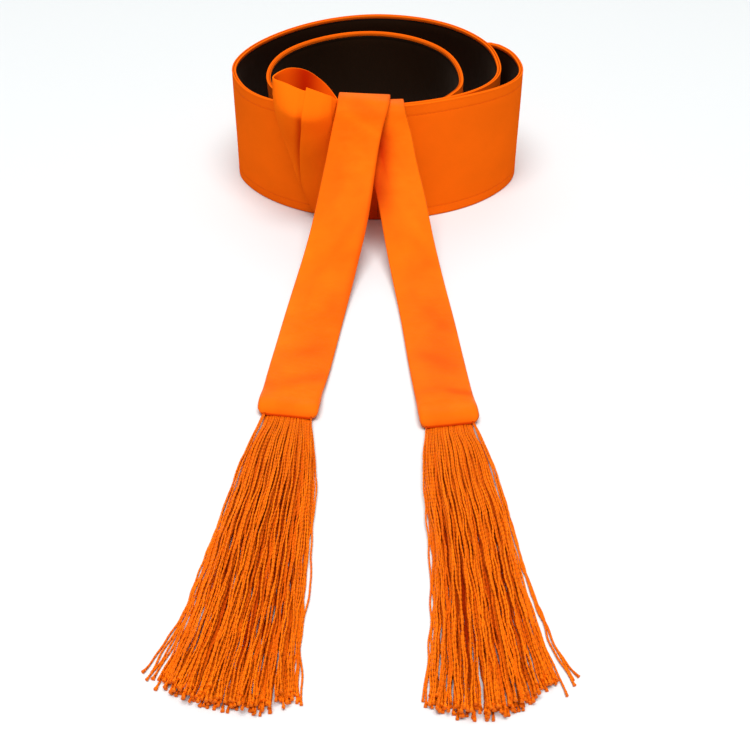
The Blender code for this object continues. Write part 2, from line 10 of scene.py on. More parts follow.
import bpy
import numpy as np
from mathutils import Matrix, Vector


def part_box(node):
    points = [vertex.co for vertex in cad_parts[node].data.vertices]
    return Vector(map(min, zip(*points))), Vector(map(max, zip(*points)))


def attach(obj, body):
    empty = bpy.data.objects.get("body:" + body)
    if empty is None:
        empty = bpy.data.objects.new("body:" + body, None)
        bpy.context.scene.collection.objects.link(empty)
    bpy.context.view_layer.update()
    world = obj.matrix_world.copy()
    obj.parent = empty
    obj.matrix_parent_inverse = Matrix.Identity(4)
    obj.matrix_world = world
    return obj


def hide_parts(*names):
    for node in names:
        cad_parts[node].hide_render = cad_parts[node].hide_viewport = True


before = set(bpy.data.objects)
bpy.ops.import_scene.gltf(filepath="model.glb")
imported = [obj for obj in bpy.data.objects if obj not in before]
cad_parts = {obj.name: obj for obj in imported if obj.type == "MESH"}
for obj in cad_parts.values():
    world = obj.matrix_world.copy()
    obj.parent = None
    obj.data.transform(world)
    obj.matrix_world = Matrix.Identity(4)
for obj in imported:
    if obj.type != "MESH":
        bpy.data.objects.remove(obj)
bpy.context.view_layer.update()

# The band's satin side
# One long strip of orange satin over a stiff interlining, turned over both edges of the lining and
# pressed into two folds along each.  It is rolled two and a third times and stands on its lower edge.
MM = 0.001
BAND_HEIGHT = 84.0
BAND_THICKNESS = 2.8
FACE_THICKNESS = 1.2
TURNED_EDGE = 3.0
FOOT_EDGE = 1.6
OUTER_FOLD, INNER_FOLD = 0.60, 0.76
GROOVE_PLACE, GROOVE_DEPTH = 1.35, 0.85
BOTTOM_ROUNDING = 0.6
ROLL_CENTRE = (2.0, 110.0)
LEAN_STARTS_AT, LEAN_FULL_AT = 50.0, 95.0
LEAN_TABLE_STARTS = 10.0
STITCH_LINES = (6.8, 76.2)
STITCH_CHANNEL = 0.12
BAND_STEP = 2.6
FINE_POINTS = 1500
HALF_SEAM = 0.15
WALL_SWAY = 0.45
TAPER_FROM, TAPER_OVER = 42.0, 30.0

# The band seen from above, from its outer to its inner end: how far round it has turned, and the
# radius of its upper outer edge.  One turn is 360 degrees, and -90 is the front.
ROLL = (
    (27, 93.3), (17, 95), (8, 100), (-7, 106.6), (-22, 112.6), (-35, 112.4), (-47, 108.6),  # right
    (-60, 105.9), (-74, 106.3), (-90, 108.9), (-108, 114.2),  # front
    (-125, 119.8), (-138, 120), (-151, 115.6), (-164, 110.9), (-180, 103.5),  # left
    (-198, 96.8), (-216, 93.6),  # left back
    (-235, 94.4), (-252, 97.2), (-268, 99.3), (-285, 98.2),  # back
    (-305, 94.6), (-325, 90.4), (-350, 89), (-368, 91.4), (-384, 97.4), (-400, 101.8),  # right
    (-420, 102.6), (-434, 103), (-450, 105.6), (-468, 110.2),  # front
    (-485, 109), (-499, 101.4), (-514, 89.6), (-530, 79.2), (-550, 70), (-572, 62.6),  # left
    (-598, 58.2), (-625, 55.6), (-650, 52),  # back
    (-678, 49.8), (-706, 52), (-726, 57.2), (-744, 66.2), (-758, 78), (-769, 90),  # right
    (-780, 98.4), (-794, 99.7), (-810, 102.3),  # front
)

# Turned angle, and how far the rim stands out from the wall's foot (below nothing: it leans in).
LEAN = (
    (10, 0), (-8, 0.4), (-22, 3), (-35, 2.7), (-49, -1.8),  # right
    (-62, -4), (-76, -3.2), (-90, -0.9), (-108, 4.4),  # front
    (-125, 10), (-138, 10.2), (-151, 5.6), (-166, 0.8), (-185, 0),  # left
)

# Both ends of the band narrow towards the ties: turned angle, and how far the rim is lowered.
TAPER = (
    (27, 5), (21, 1.8), (14, 0),  # outer end, right back
    (-776, 0), (-785, 2.4), (-794, 8), (-810, 22),  # inner end, front
)

# Each stretch of the band: its name, the turned angles where it starts and ends, and its flat length.
STRETCHES = (("outer", 27, -90, 219.5), ("middle", -90, -450, 639.9), ("inner", -450, -810, 484.4))

# How much the outer wall sways, by turned angle: nothing beside the bow and the ties.
SWAY_SHOWS = ((20, 0), (0, 1), (-45, 1), (-66, 0), (-128, 0), (-142, 1), (-320, 1), (-340, 0))


def smooth(stations, columns, at):
    """Natural cubic spline through every column, read at the stations in at.

    On each step it is a y0 + b y1 + ((a^3 - a) m0 + (b^3 - b) m1) h^2 / 6, with b the share of the
    step, a = 1 - b, and m the second derivatives, which are nothing at both ends.
    """
    x = np.asarray(stations, float)
    y = np.asarray(columns, float).reshape(len(x), -1)
    h = np.diff(x)
    system = np.eye(len(x))
    inner = np.arange(1, len(x) - 1)
    system[inner, inner - 1] = h[:-1]
    system[inner, inner] = 2.0 * (h[:-1] + h[1:])
    system[inner, inner + 1] = h[1:]
    right_side = np.zeros_like(y)
    slope = np.diff(y, axis=0) / h[:, None]
    right_side[inner] = 6.0 * np.diff(slope, axis=0)
    bend = np.linalg.solve(system, right_side)
    at = np.asarray(at, float)
    k = np.clip(np.searchsorted(x, at) - 1, 0, len(h) - 1)
    a = ((x[k + 1] - at) / h[k])[:, None]
    b = 1.0 - a
    curve = (a**3 - a) * bend[k] + (b**3 - b) * bend[k + 1]
    return a * y[k] + b * y[k + 1] + curve * (h[k] ** 2 / 6.0)[:, None]


def column(table, index):
    """One column of a table, as an array."""
    return np.array([row[index] for row in table], float)


def within(share):
    """A share kept between 0 and 1."""
    return np.clip(share, 0.0, 1.0)


def lean_at(angles):
    """How far the rim stands out at turned angles; nothing behind the table's two ends."""
    turned = LEAN_TABLE_STARTS - np.mod(LEAN_TABLE_STARTS - angles, 360.0)
    station = -column(LEAN, 0)
    return smooth(station, column(LEAN, 1), np.clip(-turned, station[0], station[-1]))[:, 0]


def band_line(angles):
    """Foot and rim of the band's outer face on the floor plan: centre + radius (cos a, sin a)."""
    rim = smooth(-column(ROLL, 0), column(ROLL, 1), -angles)[:, 0]
    lean = lean_at(angles) * within((rim - LEAN_STARTS_AT) / (LEAN_FULL_AT - LEAN_STARTS_AT))
    way = np.stack((np.cos(np.radians(angles)), np.sin(np.radians(angles))), axis=1)
    centre = np.asarray(ROLL_CENTRE)
    return centre + way * (rim - lean)[:, None], centre + way * rim[:, None]


def unit(ways):
    """Every way brought to length 1."""
    return ways / np.linalg.norm(ways, axis=-1, keepdims=True)


def distance_along(points):
    """Length along a line of points, up to each of them."""
    return np.concatenate(([0.0], np.cumsum(np.linalg.norm(np.diff(points, axis=0), axis=1))))


def band_stations(start, end, step):
    """Turned angles at even steps of length between two angles, and the length at each."""
    fine = np.linspace(start, end, FINE_POINTS)
    length = distance_along(band_line(fine)[1])
    even = np.linspace(HALF_SEAM, length[-1] - HALF_SEAM, round(length[-1] / step) + 1)
    return np.interp(even, length, fine), even


def wall_sway(angles, height):
    """Soft unevenness of the wall, outwards only: a sum of three slanting waves, 0 to 1, times its size."""
    turn = np.radians(angles)[:, None]
    rise = height[None, :] / BAND_HEIGHT
    waves = (np.sin(5.0 * turn + 1.9 * rise) + 0.7 * np.sin(9.3 * turn - 3.1 * rise + 1.0)
             + 0.5 * np.sin(17.0 * turn + 4.4 * rise + 2.2))
    shows = np.interp(-angles, -column(SWAY_SHOWS, 0), column(SWAY_SHOWS, 1), left=0.0, right=0.0)
    return WALL_SWAY * shows[:, None] * (0.5 + waves / 4.4) * np.sin(np.pi * within(rise)) ** 0.7


def wall_rings(angles, profile):
    """The profile (depth behind the outer face, height) at every station of the band.

    A point's plan is foot (1 - s) + rim s - depth outward, with s its share of the full height.
    """
    foot, rim = band_line(angles)
    along = unit(band_line(angles - 0.05)[1] - band_line(angles + 0.05)[1])
    outward = np.stack((-along[:, 1], along[:, 0]), axis=1)
    depth, height = profile[:, 0], profile[:, 1]
    lowered = np.interp(-angles, -column(TAPER, 0), column(TAPER, 1))[:, None]
    level = height[None, :] - lowered * within((height[None, :] - TAPER_FROM) / TAPER_OVER)
    share = (level / BAND_HEIGHT)[:, :, None]
    outwards = wall_sway(angles, height) - depth[None, :]
    plan = foot[:, None] * (1.0 - share) + rim[:, None] * share + outward[:, None] * outwards[:, :, None]
    return np.concatenate((plan, level[:, :, None]), axis=2)


def fold(middle, top, radius, start, end, count):
    """Part of a circle: (middle + r cos a, top - r + r sin a) for a from start to end degrees."""
    a = np.radians(np.linspace(start, end, count))
    return np.stack((middle + radius * np.cos(a), top - radius + radius * np.sin(a)), axis=1)


def face_profile():
    """The satin's section once round: up the outside, over two folds with a groove between them, in
    under itself, down behind, and out under the foot.  Each stitch line lies in a shallow channel."""
    heights = np.concatenate((
        np.linspace(1.0, 4.8, 4), np.linspace(5.4, 8.2, 7), np.linspace(11.0, 72.0, 15),
        np.linspace(74.8, 77.6, 7), np.linspace(79.0, 82.9, 4)))
    channel = sum(STITCH_CHANNEL * np.exp(-((heights - line) / 0.75) ** 2) for line in STITCH_LINES)
    outside = np.stack((channel, heights), axis=1)
    outer_fold = fold(OUTER_FOLD - 0.1, BAND_HEIGHT, OUTER_FOLD, 180.0, 20.0, 7)
    groove = np.array([(GROOVE_PLACE, BAND_HEIGHT - GROOVE_DEPTH)])
    inner_fold = fold(BAND_THICKNESS - INNER_FOLD + 0.2, BAND_HEIGHT - 0.3, INNER_FOLD, 165.0, -20.0, 8)
    tuck = BAND_HEIGHT - TURNED_EDGE
    behind = np.array([
        (BAND_THICKNESS, tuck + 0.35), (BAND_THICKNESS - 0.3, tuck), (FACE_THICKNESS, tuck),
        (FACE_THICKNESS, 0.5 * BAND_HEIGHT), (FACE_THICKNESS, FOOT_EDGE),
        (BAND_THICKNESS - 0.3, FOOT_EDGE), (BAND_THICKNESS, FOOT_EDGE - 0.35),
        (BAND_THICKNESS, BOTTOM_ROUNDING), (BAND_THICKNESS - BOTTOM_ROUNDING, 0.0), (BOTTOM_ROUNDING, 0.0),
        (0.15, 0.3)])
    return np.concatenate((outside, outer_fold, groove, inner_fold, behind))


def place_on_solids():
    """From the belt's layout to the solids: the middle stretch's plan set on its solid's box."""
    foot, rim = band_line(np.linspace(STRETCHES[1][1], STRETCHES[1][2], FINE_POINTS))
    plan = np.concatenate((foot, rim))
    low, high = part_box("face_middle")
    middle = (np.array(low[:2]) + np.array(high[:2])) / (2.0 * MM)
    return np.append(middle - (plan.min(axis=0) + plan.max(axis=0)) / 2.0, 0.0)


PLACE = place_on_solids()


def girth_of(rings):
    """Distance round a closed ring up to each of its points and back to the first: the rings' mean."""
    around = np.linalg.norm(np.roll(rings, -1, axis=-2) - rings, axis=-1).reshape(-1, rings.shape[-2])
    return np.concatenate(([0.0], np.cumsum(around.mean(axis=0))))


def add_rings(name, rings, along, material, round_about=False, groups=1, shadow=None):
    """A closed mesh through rings of points, in millimetres, with its UV map in metres of cloth.

    Quads join neighbouring rings.  The end rings are capped, or joined to each other if round_about.
    U is the distance round the ring and V the distance along, plus a step for each group.  Faces
    point outwards: the sum of a . (b x c) / 6 over the quads' triangles is the volume, and if it is
    below nothing all are turned.  rings may hold several groups one after another, all of the same
    size.  shadow is painted shade, 0 to 1 for how dark each point is painted, and is kept as the
    point attribute that cloth_material reads.
    """
    rows, size = rings.shape[-3], rings.shape[-2]
    rings = rings.reshape(groups, rows, size, 3)
    r = np.arange(rows if round_about else rows - 1)[:, None]
    c = np.arange(size)[None, :]
    below, right = (r + 1) % rows, (c + 1) % size
    quads = np.stack((r * size + c, r * size + right, below * size + right, below * size + c), axis=2)
    quads = quads.reshape(1, -1, 4) + np.arange(groups)[:, None, None] * rows * size
    quads = quads.reshape(-1, 4)
    girth = girth_of(rings[0])
    reach = np.append(along, along[-1] + along[-1] / rows)
    u = np.stack((girth[c], girth[c + 1], girth[c + 1], girth[c]), axis=2)
    u = np.broadcast_to(u, (len(r), size, 4))
    v = np.stack((reach[r], reach[r], reach[r + 1], reach[r + 1]), axis=2) + np.zeros((1, size, 1))
    own_place = np.arange(groups)[:, None, None, None] * np.array((0.0, 0.61))
    uv = ((np.stack((u, v), axis=3) * MM).reshape(1, -1, 4, 2) + own_place).reshape(-1, 4, 2)
    points = rings.reshape(-1, 3)
    a, b, d, e = (points[quads[:, corner]] for corner in range(4))
    volume = (a * np.cross(b, d)).sum() + (a * np.cross(d, e)).sum()
    caps = []
    if not round_about:
        for first in range(0, groups * rows * size, rows * size):
            last = first + (rows - 1) * size
            caps += [list(range(first + size - 1, first - 1, -1)), list(range(last, last + size))]
    if volume < 0:
        quads, uv = quads[:, ::-1], uv[:, ::-1]
        caps = [cap[::-1] for cap in caps]
    mesh = bpy.data.meshes.new(name)
    mesh.from_pydata(((points + PLACE) * MM).tolist(), [], quads.tolist() + caps)
    layer = mesh.uv_layers.new(name="cloth")
    flat = np.zeros((len(mesh.loops), 2), np.float32)
    flat[:uv.size // 2] = uv.reshape(-1, 2)
    layer.data.foreach_set("uv", flat.ravel())
    if shadow is not None:
        # The painted shade, one value for each point.
        deep = mesh.attributes.new("painted_shadow", "FLOAT", "POINT")
        deep.data.foreach_set("value", np.ascontiguousarray(shadow, np.float32).ravel())
    mesh.shade_smooth()
    mesh.set_sharp_from_angle(angle=math.radians(62.0))
    mesh.materials.append(material)
    piece = bpy.data.objects.new(name, mesh)
    bpy.context.collection.objects.link(piece)
    return piece


# What the cloth's colour is multiplied by in full painted shade, deep in a fold or a cast shadow.
PAINTED_SHADE_TINT = (0.56, 0.17, 0.22)


def set_inputs(node, values):
    """Sets a node's inputs by name or number: another node's output is linked, any other value kept."""
    for socket, value in values.items():
        if isinstance(value, bpy.types.NodeSocket):
            node.id_data.links.new(value, node.inputs[socket])
        else:
            node.inputs[socket].default_value = value
    return node


def cloth_material(name, colour, lustre, roughness, specular, grain, pucker=0.3, shade=0.08, lines=(),
                   shade_painted=False):
    """Woven cloth on its own UV map: fine threads as a long streaked noise in the bump, a soft
    pucker under them, and a slow change of colour between two tones, shade apart.

    Each of lines is painted shade along a seam or fold of the whole piece: its U, half width and tone.
    Where shade is painted on a piece, its colour is deepened towards the painted-shade tint
    where the point attribute kept by add_rings is high.
    """
    material = bpy.data.materials.new(name)
    material.use_nodes = True
    nodes = material.node_tree.nodes
    place = nodes.new("ShaderNodeTexCoord").outputs["UV"]

    def add(kind, values):
        return set_inputs(nodes.new("ShaderNode" + kind), values)

    def noise(scale, detail):
        stretch = add("Mapping", {"Vector": place, "Scale": scale})
        texture = add("TexNoise", {"Vector": stretch.outputs["Vector"], "Scale": 1.0, "Detail": detail})
        return texture.outputs["Fac"]

    ramp = add("ValToRGB", {"Fac": noise((38.0, 26.0, 1.0), 4.0)})
    for stop, position, share in zip(ramp.color_ramp.elements, (0.35, 0.65), (1.0 - shade, 1.0 + shade)):
        stop.position = position
        stop.color = (*(min(1.0, part * share) for part in colour), 1.0)
    tone = ramp.outputs["Color"]
    # Painted shade along each of lines.
    if lines:
        reach = max(line[0] + line[1] for line in lines) * 1.05
        share = add("Math", {0: add("SeparateXYZ", {"Vector": place}).outputs["X"], 1: reach})
        share.operation = "DIVIDE"
        painted_lines = add("ValToRGB", {"Fac": share.outputs["Value"]})
        painted_lines.color_ramp.elements[0].color = (1.0, 1.0, 1.0, 1.0)
        for middle, half_width, dark in sorted(lines):
            for position, value in ((middle - half_width, 1.0), (middle, dark), (middle + half_width, 1.0)):
                stop = painted_lines.color_ramp.elements.new(min(1.0, max(0.0, position / reach)))
                stop.color = (value, value, value, 1.0)
        blend = add("VectorMath", {0: tone, 1: painted_lines.outputs["Color"]})
        blend.operation = "MULTIPLY"
        tone = blend.outputs["Vector"]
    # Painted shade: the colour multiplied towards the painted-shade tint by the point attribute.
    if shade_painted:
        depth = nodes.new("ShaderNodeAttribute")
        depth.attribute_name = "painted_shadow"
        deepen = nodes.new("ShaderNodeMix")
        deepen.data_type = "RGBA"
        deepen.blend_type = "MULTIPLY"
        set_inputs(deepen, {0: depth.outputs["Fac"], 6: tone, 7: (*PAINTED_SHADE_TINT, 1.0)})
        tone = deepen.outputs[2]
    folds = add("Bump", {"Strength": pucker, "Distance": 0.0012, "Height": noise((55.0, 75.0, 1.0), 2.0)})
    threads = add("Bump", {
        "Strength": grain, "Distance": 0.00008, "Height": noise((4200.0, 650.0, 1.0), 3.0),
        "Normal": folds.outputs["Normal"]})
    set_inputs(nodes["Principled BSDF"], {
        "Base Color": tone, "Roughness": roughness, "Normal": threads.outputs["Normal"],
        "Sheen Weight": 0.03, "Sheen Roughness": 0.35, "Sheen Tint": (*lustre, 1.0),
        "Specular IOR Level": specular, "Specular Tint": (*lustre, 1.0)})
    return material


BAND_ORANGE = (0.91, 0.131, 0.0034)
SATIN_LUSTRE = (1.0, 0.34, 0.09)
face_girth = distance_along(face_profile()) * MM
fold_seam = int(np.argmin(np.abs(face_profile() - (GROOVE_PLACE, BAND_HEIGHT - GROOVE_DEPTH)).sum(axis=1)))
# Painted shade along the groove between the rim's two folds, and lighter along both stitch channels.
face_painted_shade = [(face_girth[fold_seam], 0.0008, 0.28)]
face_painted_shade += [((line - 1.0) * MM, 0.0009, 0.90) for line in STITCH_LINES]
band_satin = cloth_material("band_satin", BAND_ORANGE, SATIN_LUSTRE, roughness=0.5, specular=0.0,
                            grain=0.35, pucker=0.10, shade=0.03, lines=face_painted_shade, shade_painted=True)
# Painted shadow on the wall between the two ties, which shade it: its turned angle, half width and depth.
BETWEEN_TIES, BETWEEN_TIES_WIDTH, BETWEEN_TIES_SHADOW = -91.2, 3.4, 0.8
for stretch, start, end, _ in STRETCHES:
    angles, run = band_stations(start, end, BAND_STEP)
    rings = wall_rings(angles, face_profile())
    under_ties = np.exp(-((angles - BETWEEN_TIES) / BETWEEN_TIES_WIDTH) ** 4)
    under_ties = BETWEEN_TIES_SHADOW * under_ties[:, None] * np.ones(rings.shape[1])
    face = add_rings(f"satin_face_{stretch}", rings, run, band_satin, shadow=under_ties)
    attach(face, "root")
    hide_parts(f"face_{stretch}")

# Topstitching
# Two rows of small stitches hold the turned edges, one near the rim and one near the foot, in thread
# a little darker than the satin.  They lie in the face's shallow channels.
STITCH_PITCH = 3.1
STITCH_LENGTH = 1.9
STITCH_RADIUS = 0.17
STITCH_SIDES = 5
THREAD_ORANGE = (0.80, 0.085, 0.0025)
stitch_thread = cloth_material("stitch_thread", THREAD_ORANGE, SATIN_LUSTRE, roughness=0.6, specular=0.1,
                               grain=0.2)


def stitch_rings(start, end, height):
    """Small spindles end to end: radius r sqrt(1 - (0.94 s)^2) for s from -1 to 1 along each."""
    middle, run = band_stations(start, end, STITCH_PITCH)
    s = np.linspace(-1.0, 1.0, 5)
    turn = (middle[-1] - middle[0]) / (run[-1] - run[0])
    angles = (middle[1:-1, None] + turn * 0.5 * STITCH_LENGTH * s[None, :]).ravel()
    profile = np.array([(STITCH_CHANNEL - 0.02, height), (STITCH_CHANNEL - 1.02, height)])
    rings = wall_rings(angles, profile)
    outward = rings[:, 1] - rings[:, 0]
    upward = np.array((0.0, 0.0, 1.0))
    radius = np.tile(STITCH_RADIUS * np.sqrt(1.0 - (0.94 * s) ** 2), len(middle) - 2)[:, None, None]
    a = np.arange(STITCH_SIDES) * 2.0 * np.pi / STITCH_SIDES
    spin = np.cos(a)[None, :, None] * outward[:, None] + np.sin(a)[None, :, None] * upward
    return (rings[:, :1] + radius * spin).reshape(len(middle) - 2, len(s), STITCH_SIDES, 3), s


for stretch, start, end, length in STRETCHES:
    rows = [stitch_rings(start, end, line) for line in STITCH_LINES]
    groups = np.concatenate([row[0] for row in rows])
    seam = add_rings(f"topstitching_{stretch}", groups, rows[0][1] + 1.0, stitch_thread, groups=len(groups))
    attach(seam, "root")

# Black lining
# A smooth, close-woven black lining faces the inside of the roll.  Its edges are tucked under the
# satin, a hair lower than the turned edge.
LINING_STEP = 2.6
LINING_BLACK, LINING_LUSTRE = (0.0115, 0.0044, 0.0016), (1.0, 0.78, 0.60)


def lining_profile():
    """The lining's section once round: a flat wall 1.1 thick whose two edges are rounded off."""
    near, far = FACE_THICKNESS + 0.25, BAND_THICKNESS - 0.18
    low, high = FOOT_EDGE + 0.2, BAND_HEIGHT - TURNED_EDGE - 0.2
    inside = np.stack((np.full(12, far), np.linspace(high - 0.5, low + 0.5, 12)), axis=1)
    return np.concatenate((
        [(near, low), (near, 0.5 * BAND_HEIGHT), (near, high), (far - 0.3, high)], inside,
        [(far - 0.3, low)]))


# Painted shade along its upper edge, at the profile's fifth point, which lies in the shadow of the satin.
lining_girth = distance_along(lining_profile()) * MM
lining_painted_shade = [(lining_girth[4], 0.0009, 0.12)]
lining_cloth = cloth_material("lining_cloth", LINING_BLACK, LINING_LUSTRE, roughness=0.50, specular=0.09,
                              grain=0.25, lines=lining_painted_shade)
for stretch, start, end, length in STRETCHES:
    angles, run = band_stations(start, end, LINING_STEP)
    lining = add_rings(f"lining_cloth_{stretch}", wall_rings(angles, lining_profile()), run, lining_cloth)
    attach(lining, "root")
    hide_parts(f"lining_{stretch}")

# The two ties
# Flat tubes of the same satin, two layers pressed together, so each long edge shows a seam between an
# upper and a lower layer.  They pass over the front rim and end in a puffed hem, open for the fringe.
SATIN_ORANGE = (0.95, 0.150, 0.0038)
TIE_STEP = 1.7
TIE_CLOTH = 0.5
USUAL_HALF_WIDTH, USUAL_HALF_THICK = 17.0, 1.3
CREASE_DEPTH = 2.3
# Painted shadow on the hem's lip, on the tie's inside, and just above the hem's end.
HEM_SHADOW = 0.9

# The middle line of each: x, y, z, width, thickness, turn, tilt.  Turn swings its right edge forward,
# and tilt lets that edge down, in degrees.
LEFT_TIE = (
    (-4.6, 20.6, 30, 33, 2.4, -3, 0), (-5.4, 20.2, 60, 33.6, 2.4, -3, 0),  # inside the roll
    (-6, 18.6, 72, 34.2, 2.4, -3, 1),  # inside the roll
    (-6.6, 15.6, 83.4, 34.6, 2.4, -2, 1.6), (-6.8, 13.4, 87.2, 34.8, 2.4, -2, 2),  # inner bend
    (-7, 9.4, 89.5, 35, 2.4, -1, 3.4), (-7.2, 4, 90.2, 35, 2.4, 0, 5),  # over the rim
    (-7.8, -3.4, 89.1, 35, 2.4, 0.5, 4), (-8.8, -8.4, 85.4, 34.6, 2.4, 1, 3),  # front bend
    (-10.6, -12.4, 79.4, 34.2, 2.6, 1.5, 2), (-15, -24.6, 61.4, 34, 2.6, 2.5, 1),  # slope
    (-19.2, -41, 42.4, 35.6, 2.6, 3.5, 0), (-23.6, -61, 25.8, 36.6, 2.6, 4.5, 0),  # slope
    (-28.8, -84.5, 12.8, 37, 2.6, 5, 0),  # slope
    (-33.6, -111, 4.9, 37.4, 2.6, 5.5, 0), (-37.6, -141, 1.75, 37.2, 2.8, 5.5, 0),  # meets the floor
    (-41.6, -180, 1.6, 36.4, 3.2, 6, 0), (-45.2, -215, 2, 35.2, 4, 7, 0),  # floor
    (-46.8, -231, 2.8, 34.4, 5.6, 8.5, 0), (-47.6, -241.5, 3.6, 34.8, 7.2, 9.5, 0),  # hem
    (-48, -246.2, 3.3, 34.4, 6.6, 9.5, 0),  # hem
    (-48.3, -249.4, 2.3, 32.2, 4.6, 9.5, 0), (-48.5, -250.8, 1.45, 28.2, 2.8, 9.5, 0),  # hem end
)
RIGHT_TIE = (
    (3.2, 17, 28, 32, 2.4, -6, 0), (3.2, 16.6, 60, 32.4, 2.4, -6, 0),  # inside the roll
    (3.2, 14.8, 72, 32.8, 2.4, -6, 0),  # inside the roll
    (3.2, 10.9, 83.2, 33, 2.4, -6, 0), (3.2, 9.7, 84.9, 33, 2.4, -6, 0),  # inner bend
    (3.2, 7.4, 85.6, 33, 2.4, -5, 0), (3.4, 2, 85.6, 33, 2.4, -3, 0),  # over the rim
    (3.8, -2.6, 84.2, 33, 2.4, 0, 0), (4.8, -5.6, 80.2, 33, 2.4, 0, 0),  # front bend
    (7, -9, 73.4, 33, 2.6, -0.5, 0), (11.2, -20, 57, 32.6, 2.6, -1.5, 0),  # slope
    (16.8, -37, 38.4, 32.4, 2.6, -2.5, 0), (21.2, -57, 22.2, 32.6, 2.6, -3.5, 0),  # slope
    (25.3, -82, 10, 33, 2.6, -4.5, 0),  # slope
    (29, -110, 3.6, 33, 2.6, -5, 0), (32, -140, 1.6, 33, 2.8, -5, 0),  # meets the floor
    (34.9, -180, 1.6, 33, 3.2, -5, 0), (38, -222, 1.9, 32.8, 3.8, -6, 0),  # floor
    (39.4, -240, 2.8, 33, 5.6, -8, 0), (40.2, -250.4, 3.6, 33.6, 7.2, -10, 0),  # hem
    (40.6, -254.8, 3.3, 33.4, 6.6, -10, 0),  # hem
    (40.9, -258, 2.3, 31.2, 4.6, -10, 0), (41, -259.4, 1.45, 27.2, 2.8, -10, 0),  # hem end
)

# A long edge from the top layer down to the bottom: how far in from the edge, the level as a share of
# half the thickness, and whether it is the upper layer's.
TIE_EDGE = (
    ("top", 1.1, 0.98, 1), ("top edge", 0.5, 0.86, 1), ("top edge", 0.22, 0.5, 1), ("seam", 0.6, 0.12, 1),
    ("lower edge", 0.14, -0.12, 0), ("lower edge", 0, -0.45, 0), ("lower edge", 0.25, -0.84, 0),
    ("bottom", 1.1, -1, 0),
)
# How far the lower layer reaches beyond the upper one at the left and right edge.
LAYER_STEPS = {"left": (0.0, 1.15), "right": (0.25, 0.10)}
# The hem's lip, turned in ring by ring: narrower by, share of its thickness, and how far forward.
HEM_LIP = ((0.4, 0.8, 0.5), (0.9, 0.6, 0.3), (1.2, 0.5, -0.8))

# Creases of a tie: what it is, distance from the tie's hem end, place across (-1 left, 1 right),
# direction (0 across, 90 along), half length, half width, and height (below nothing: a trough).
LEFT_CREASES = (
    ("ridge above the hem", 14, 0, 4, 15, 6, 0.55),
    ("dip above the ridge", 30, 0.35, 24, 12, 7, -0.75),
    ("dip at the left", 34, -0.45, -30, 9, 6, -0.45),
    ("soft swell", 48, 0.3, 50, 14, 7.5, 0.55),
    ("soft dip", 62, -0.1, 35, 16, 8, -0.55),
    ("soft swell", 84, -0.35, 70, 20, 7, 0.4),
    ("soft dip", 104, 0.25, 60, 18, 7, -0.45),
    ("long swell", 140, 0, 82, 26, 8, 0.45),
    ("soft dip", 176, 0.4, 70, 18, 6, -0.35),
    ("soft swell", 205, -0.3, 75, 18, 7, 0.35),
    ("slanting ridge below the rim", 269, 0, -29, 20, 2.4, 0.7),
    ("dip under the ridge", 263, 0, -27, 16, 3.4, -0.3),
    ("dip above the ridge", 275.5, 0, -29, 16, 4, -0.35),
)
RIGHT_CREASES = (
    ("ridge above the hem", 13, 0.05, -5, 14, 6, 0.6),
    ("dip at the right", 27, 0.55, -28, 9, 5.5, -0.85),
    ("dip at the left", 32, -0.4, 10, 11, 6.5, -0.5),
    ("soft swell", 46, 0.35, -35, 13, 7, 0.55),
    ("soft dip", 66, 0, -45, 16, 8, -0.55),
    ("soft swell", 88, -0.35, -60, 18, 7, 0.5),
    ("soft dip", 112, 0.3, -70, 18, 7, -0.45),
    ("long swell", 150, -0.1, -80, 26, 7.5, 0.45),
    ("soft dip", 190, 0.35, -72, 18, 6, -0.45),
    ("swell on the slope", 218, 0.25, -78, 20, 7, 0.45),
    ("swell under the rim", 262, 0.2, -12, 10, 4, 0.35),
)


def creases(table, along, across):
    """Height of soft ridges and troughs: h exp(-(p/L)^4) exp(-(q/0.8W)^2), with p along and q off each."""
    height = np.zeros(np.broadcast(along, across).shape)
    for _, reach, side, direction, half_length, half_width, rise in table:
        turn = math.radians(direction)
        ahead, aside = along - reach, across - side * USUAL_HALF_WIDTH
        p = aside * math.cos(turn) + ahead * math.sin(turn)
        q = -aside * math.sin(turn) + ahead * math.cos(turn)
        height += rise * np.exp(-(p / half_length) ** 4) * np.exp(-(q / (0.8 * half_width)) ** 2)
    return CREASE_DEPTH * height


# Painted shade on a tie, measured like its creases, and how dark; the painted highlights are below
# nothing, taken off the even painted shade that the whole tie is given.
TIE_PAINTED_SHADE = 0.12
LEFT_SHADOWS = (
    ("above the slanting ridge", 279.5, 0.05, -27, 26, 7, 0.2),
    ("light on the slanting ridge", 269.5, 0, -29, 22, 2.8, -0.16),
    ("pillow above the hem", 14, 0, 4, 16, 8, -0.12),
    ("soft swell", 48, 0.3, 50, 14, 7.5, -0.08),
    ("soft swell", 84, -0.35, 70, 20, 7, -0.08),
    ("long swell", 135, 0.1, 82, 26, 8, -0.08),
    ("swell on the slope", 215, -0.2, 75, 30, 9, -0.1),
    ("light left edge", 150, -1, 90, 125, 1.7, -0.14),
    ("dip above the hem", 36, 0.3, 24, 15, 8, 0.24),
    ("dip at the left", 26, -0.75, -50, 9, 5, 0.14),
    ("soft dip", 64, -0.1, 35, 16, 8, 0.15),
    ("soft dip", 106, 0.25, 60, 18, 7, 0.15),
    ("soft dip", 150, -0.45, 75, 20, 6, 0.1),
    ("soft dip", 190, 0.35, 70, 20, 6, 0.12),
    ("right edge of the slope", 205, 1.02, 90, 90, 1.7, 0.45),
)
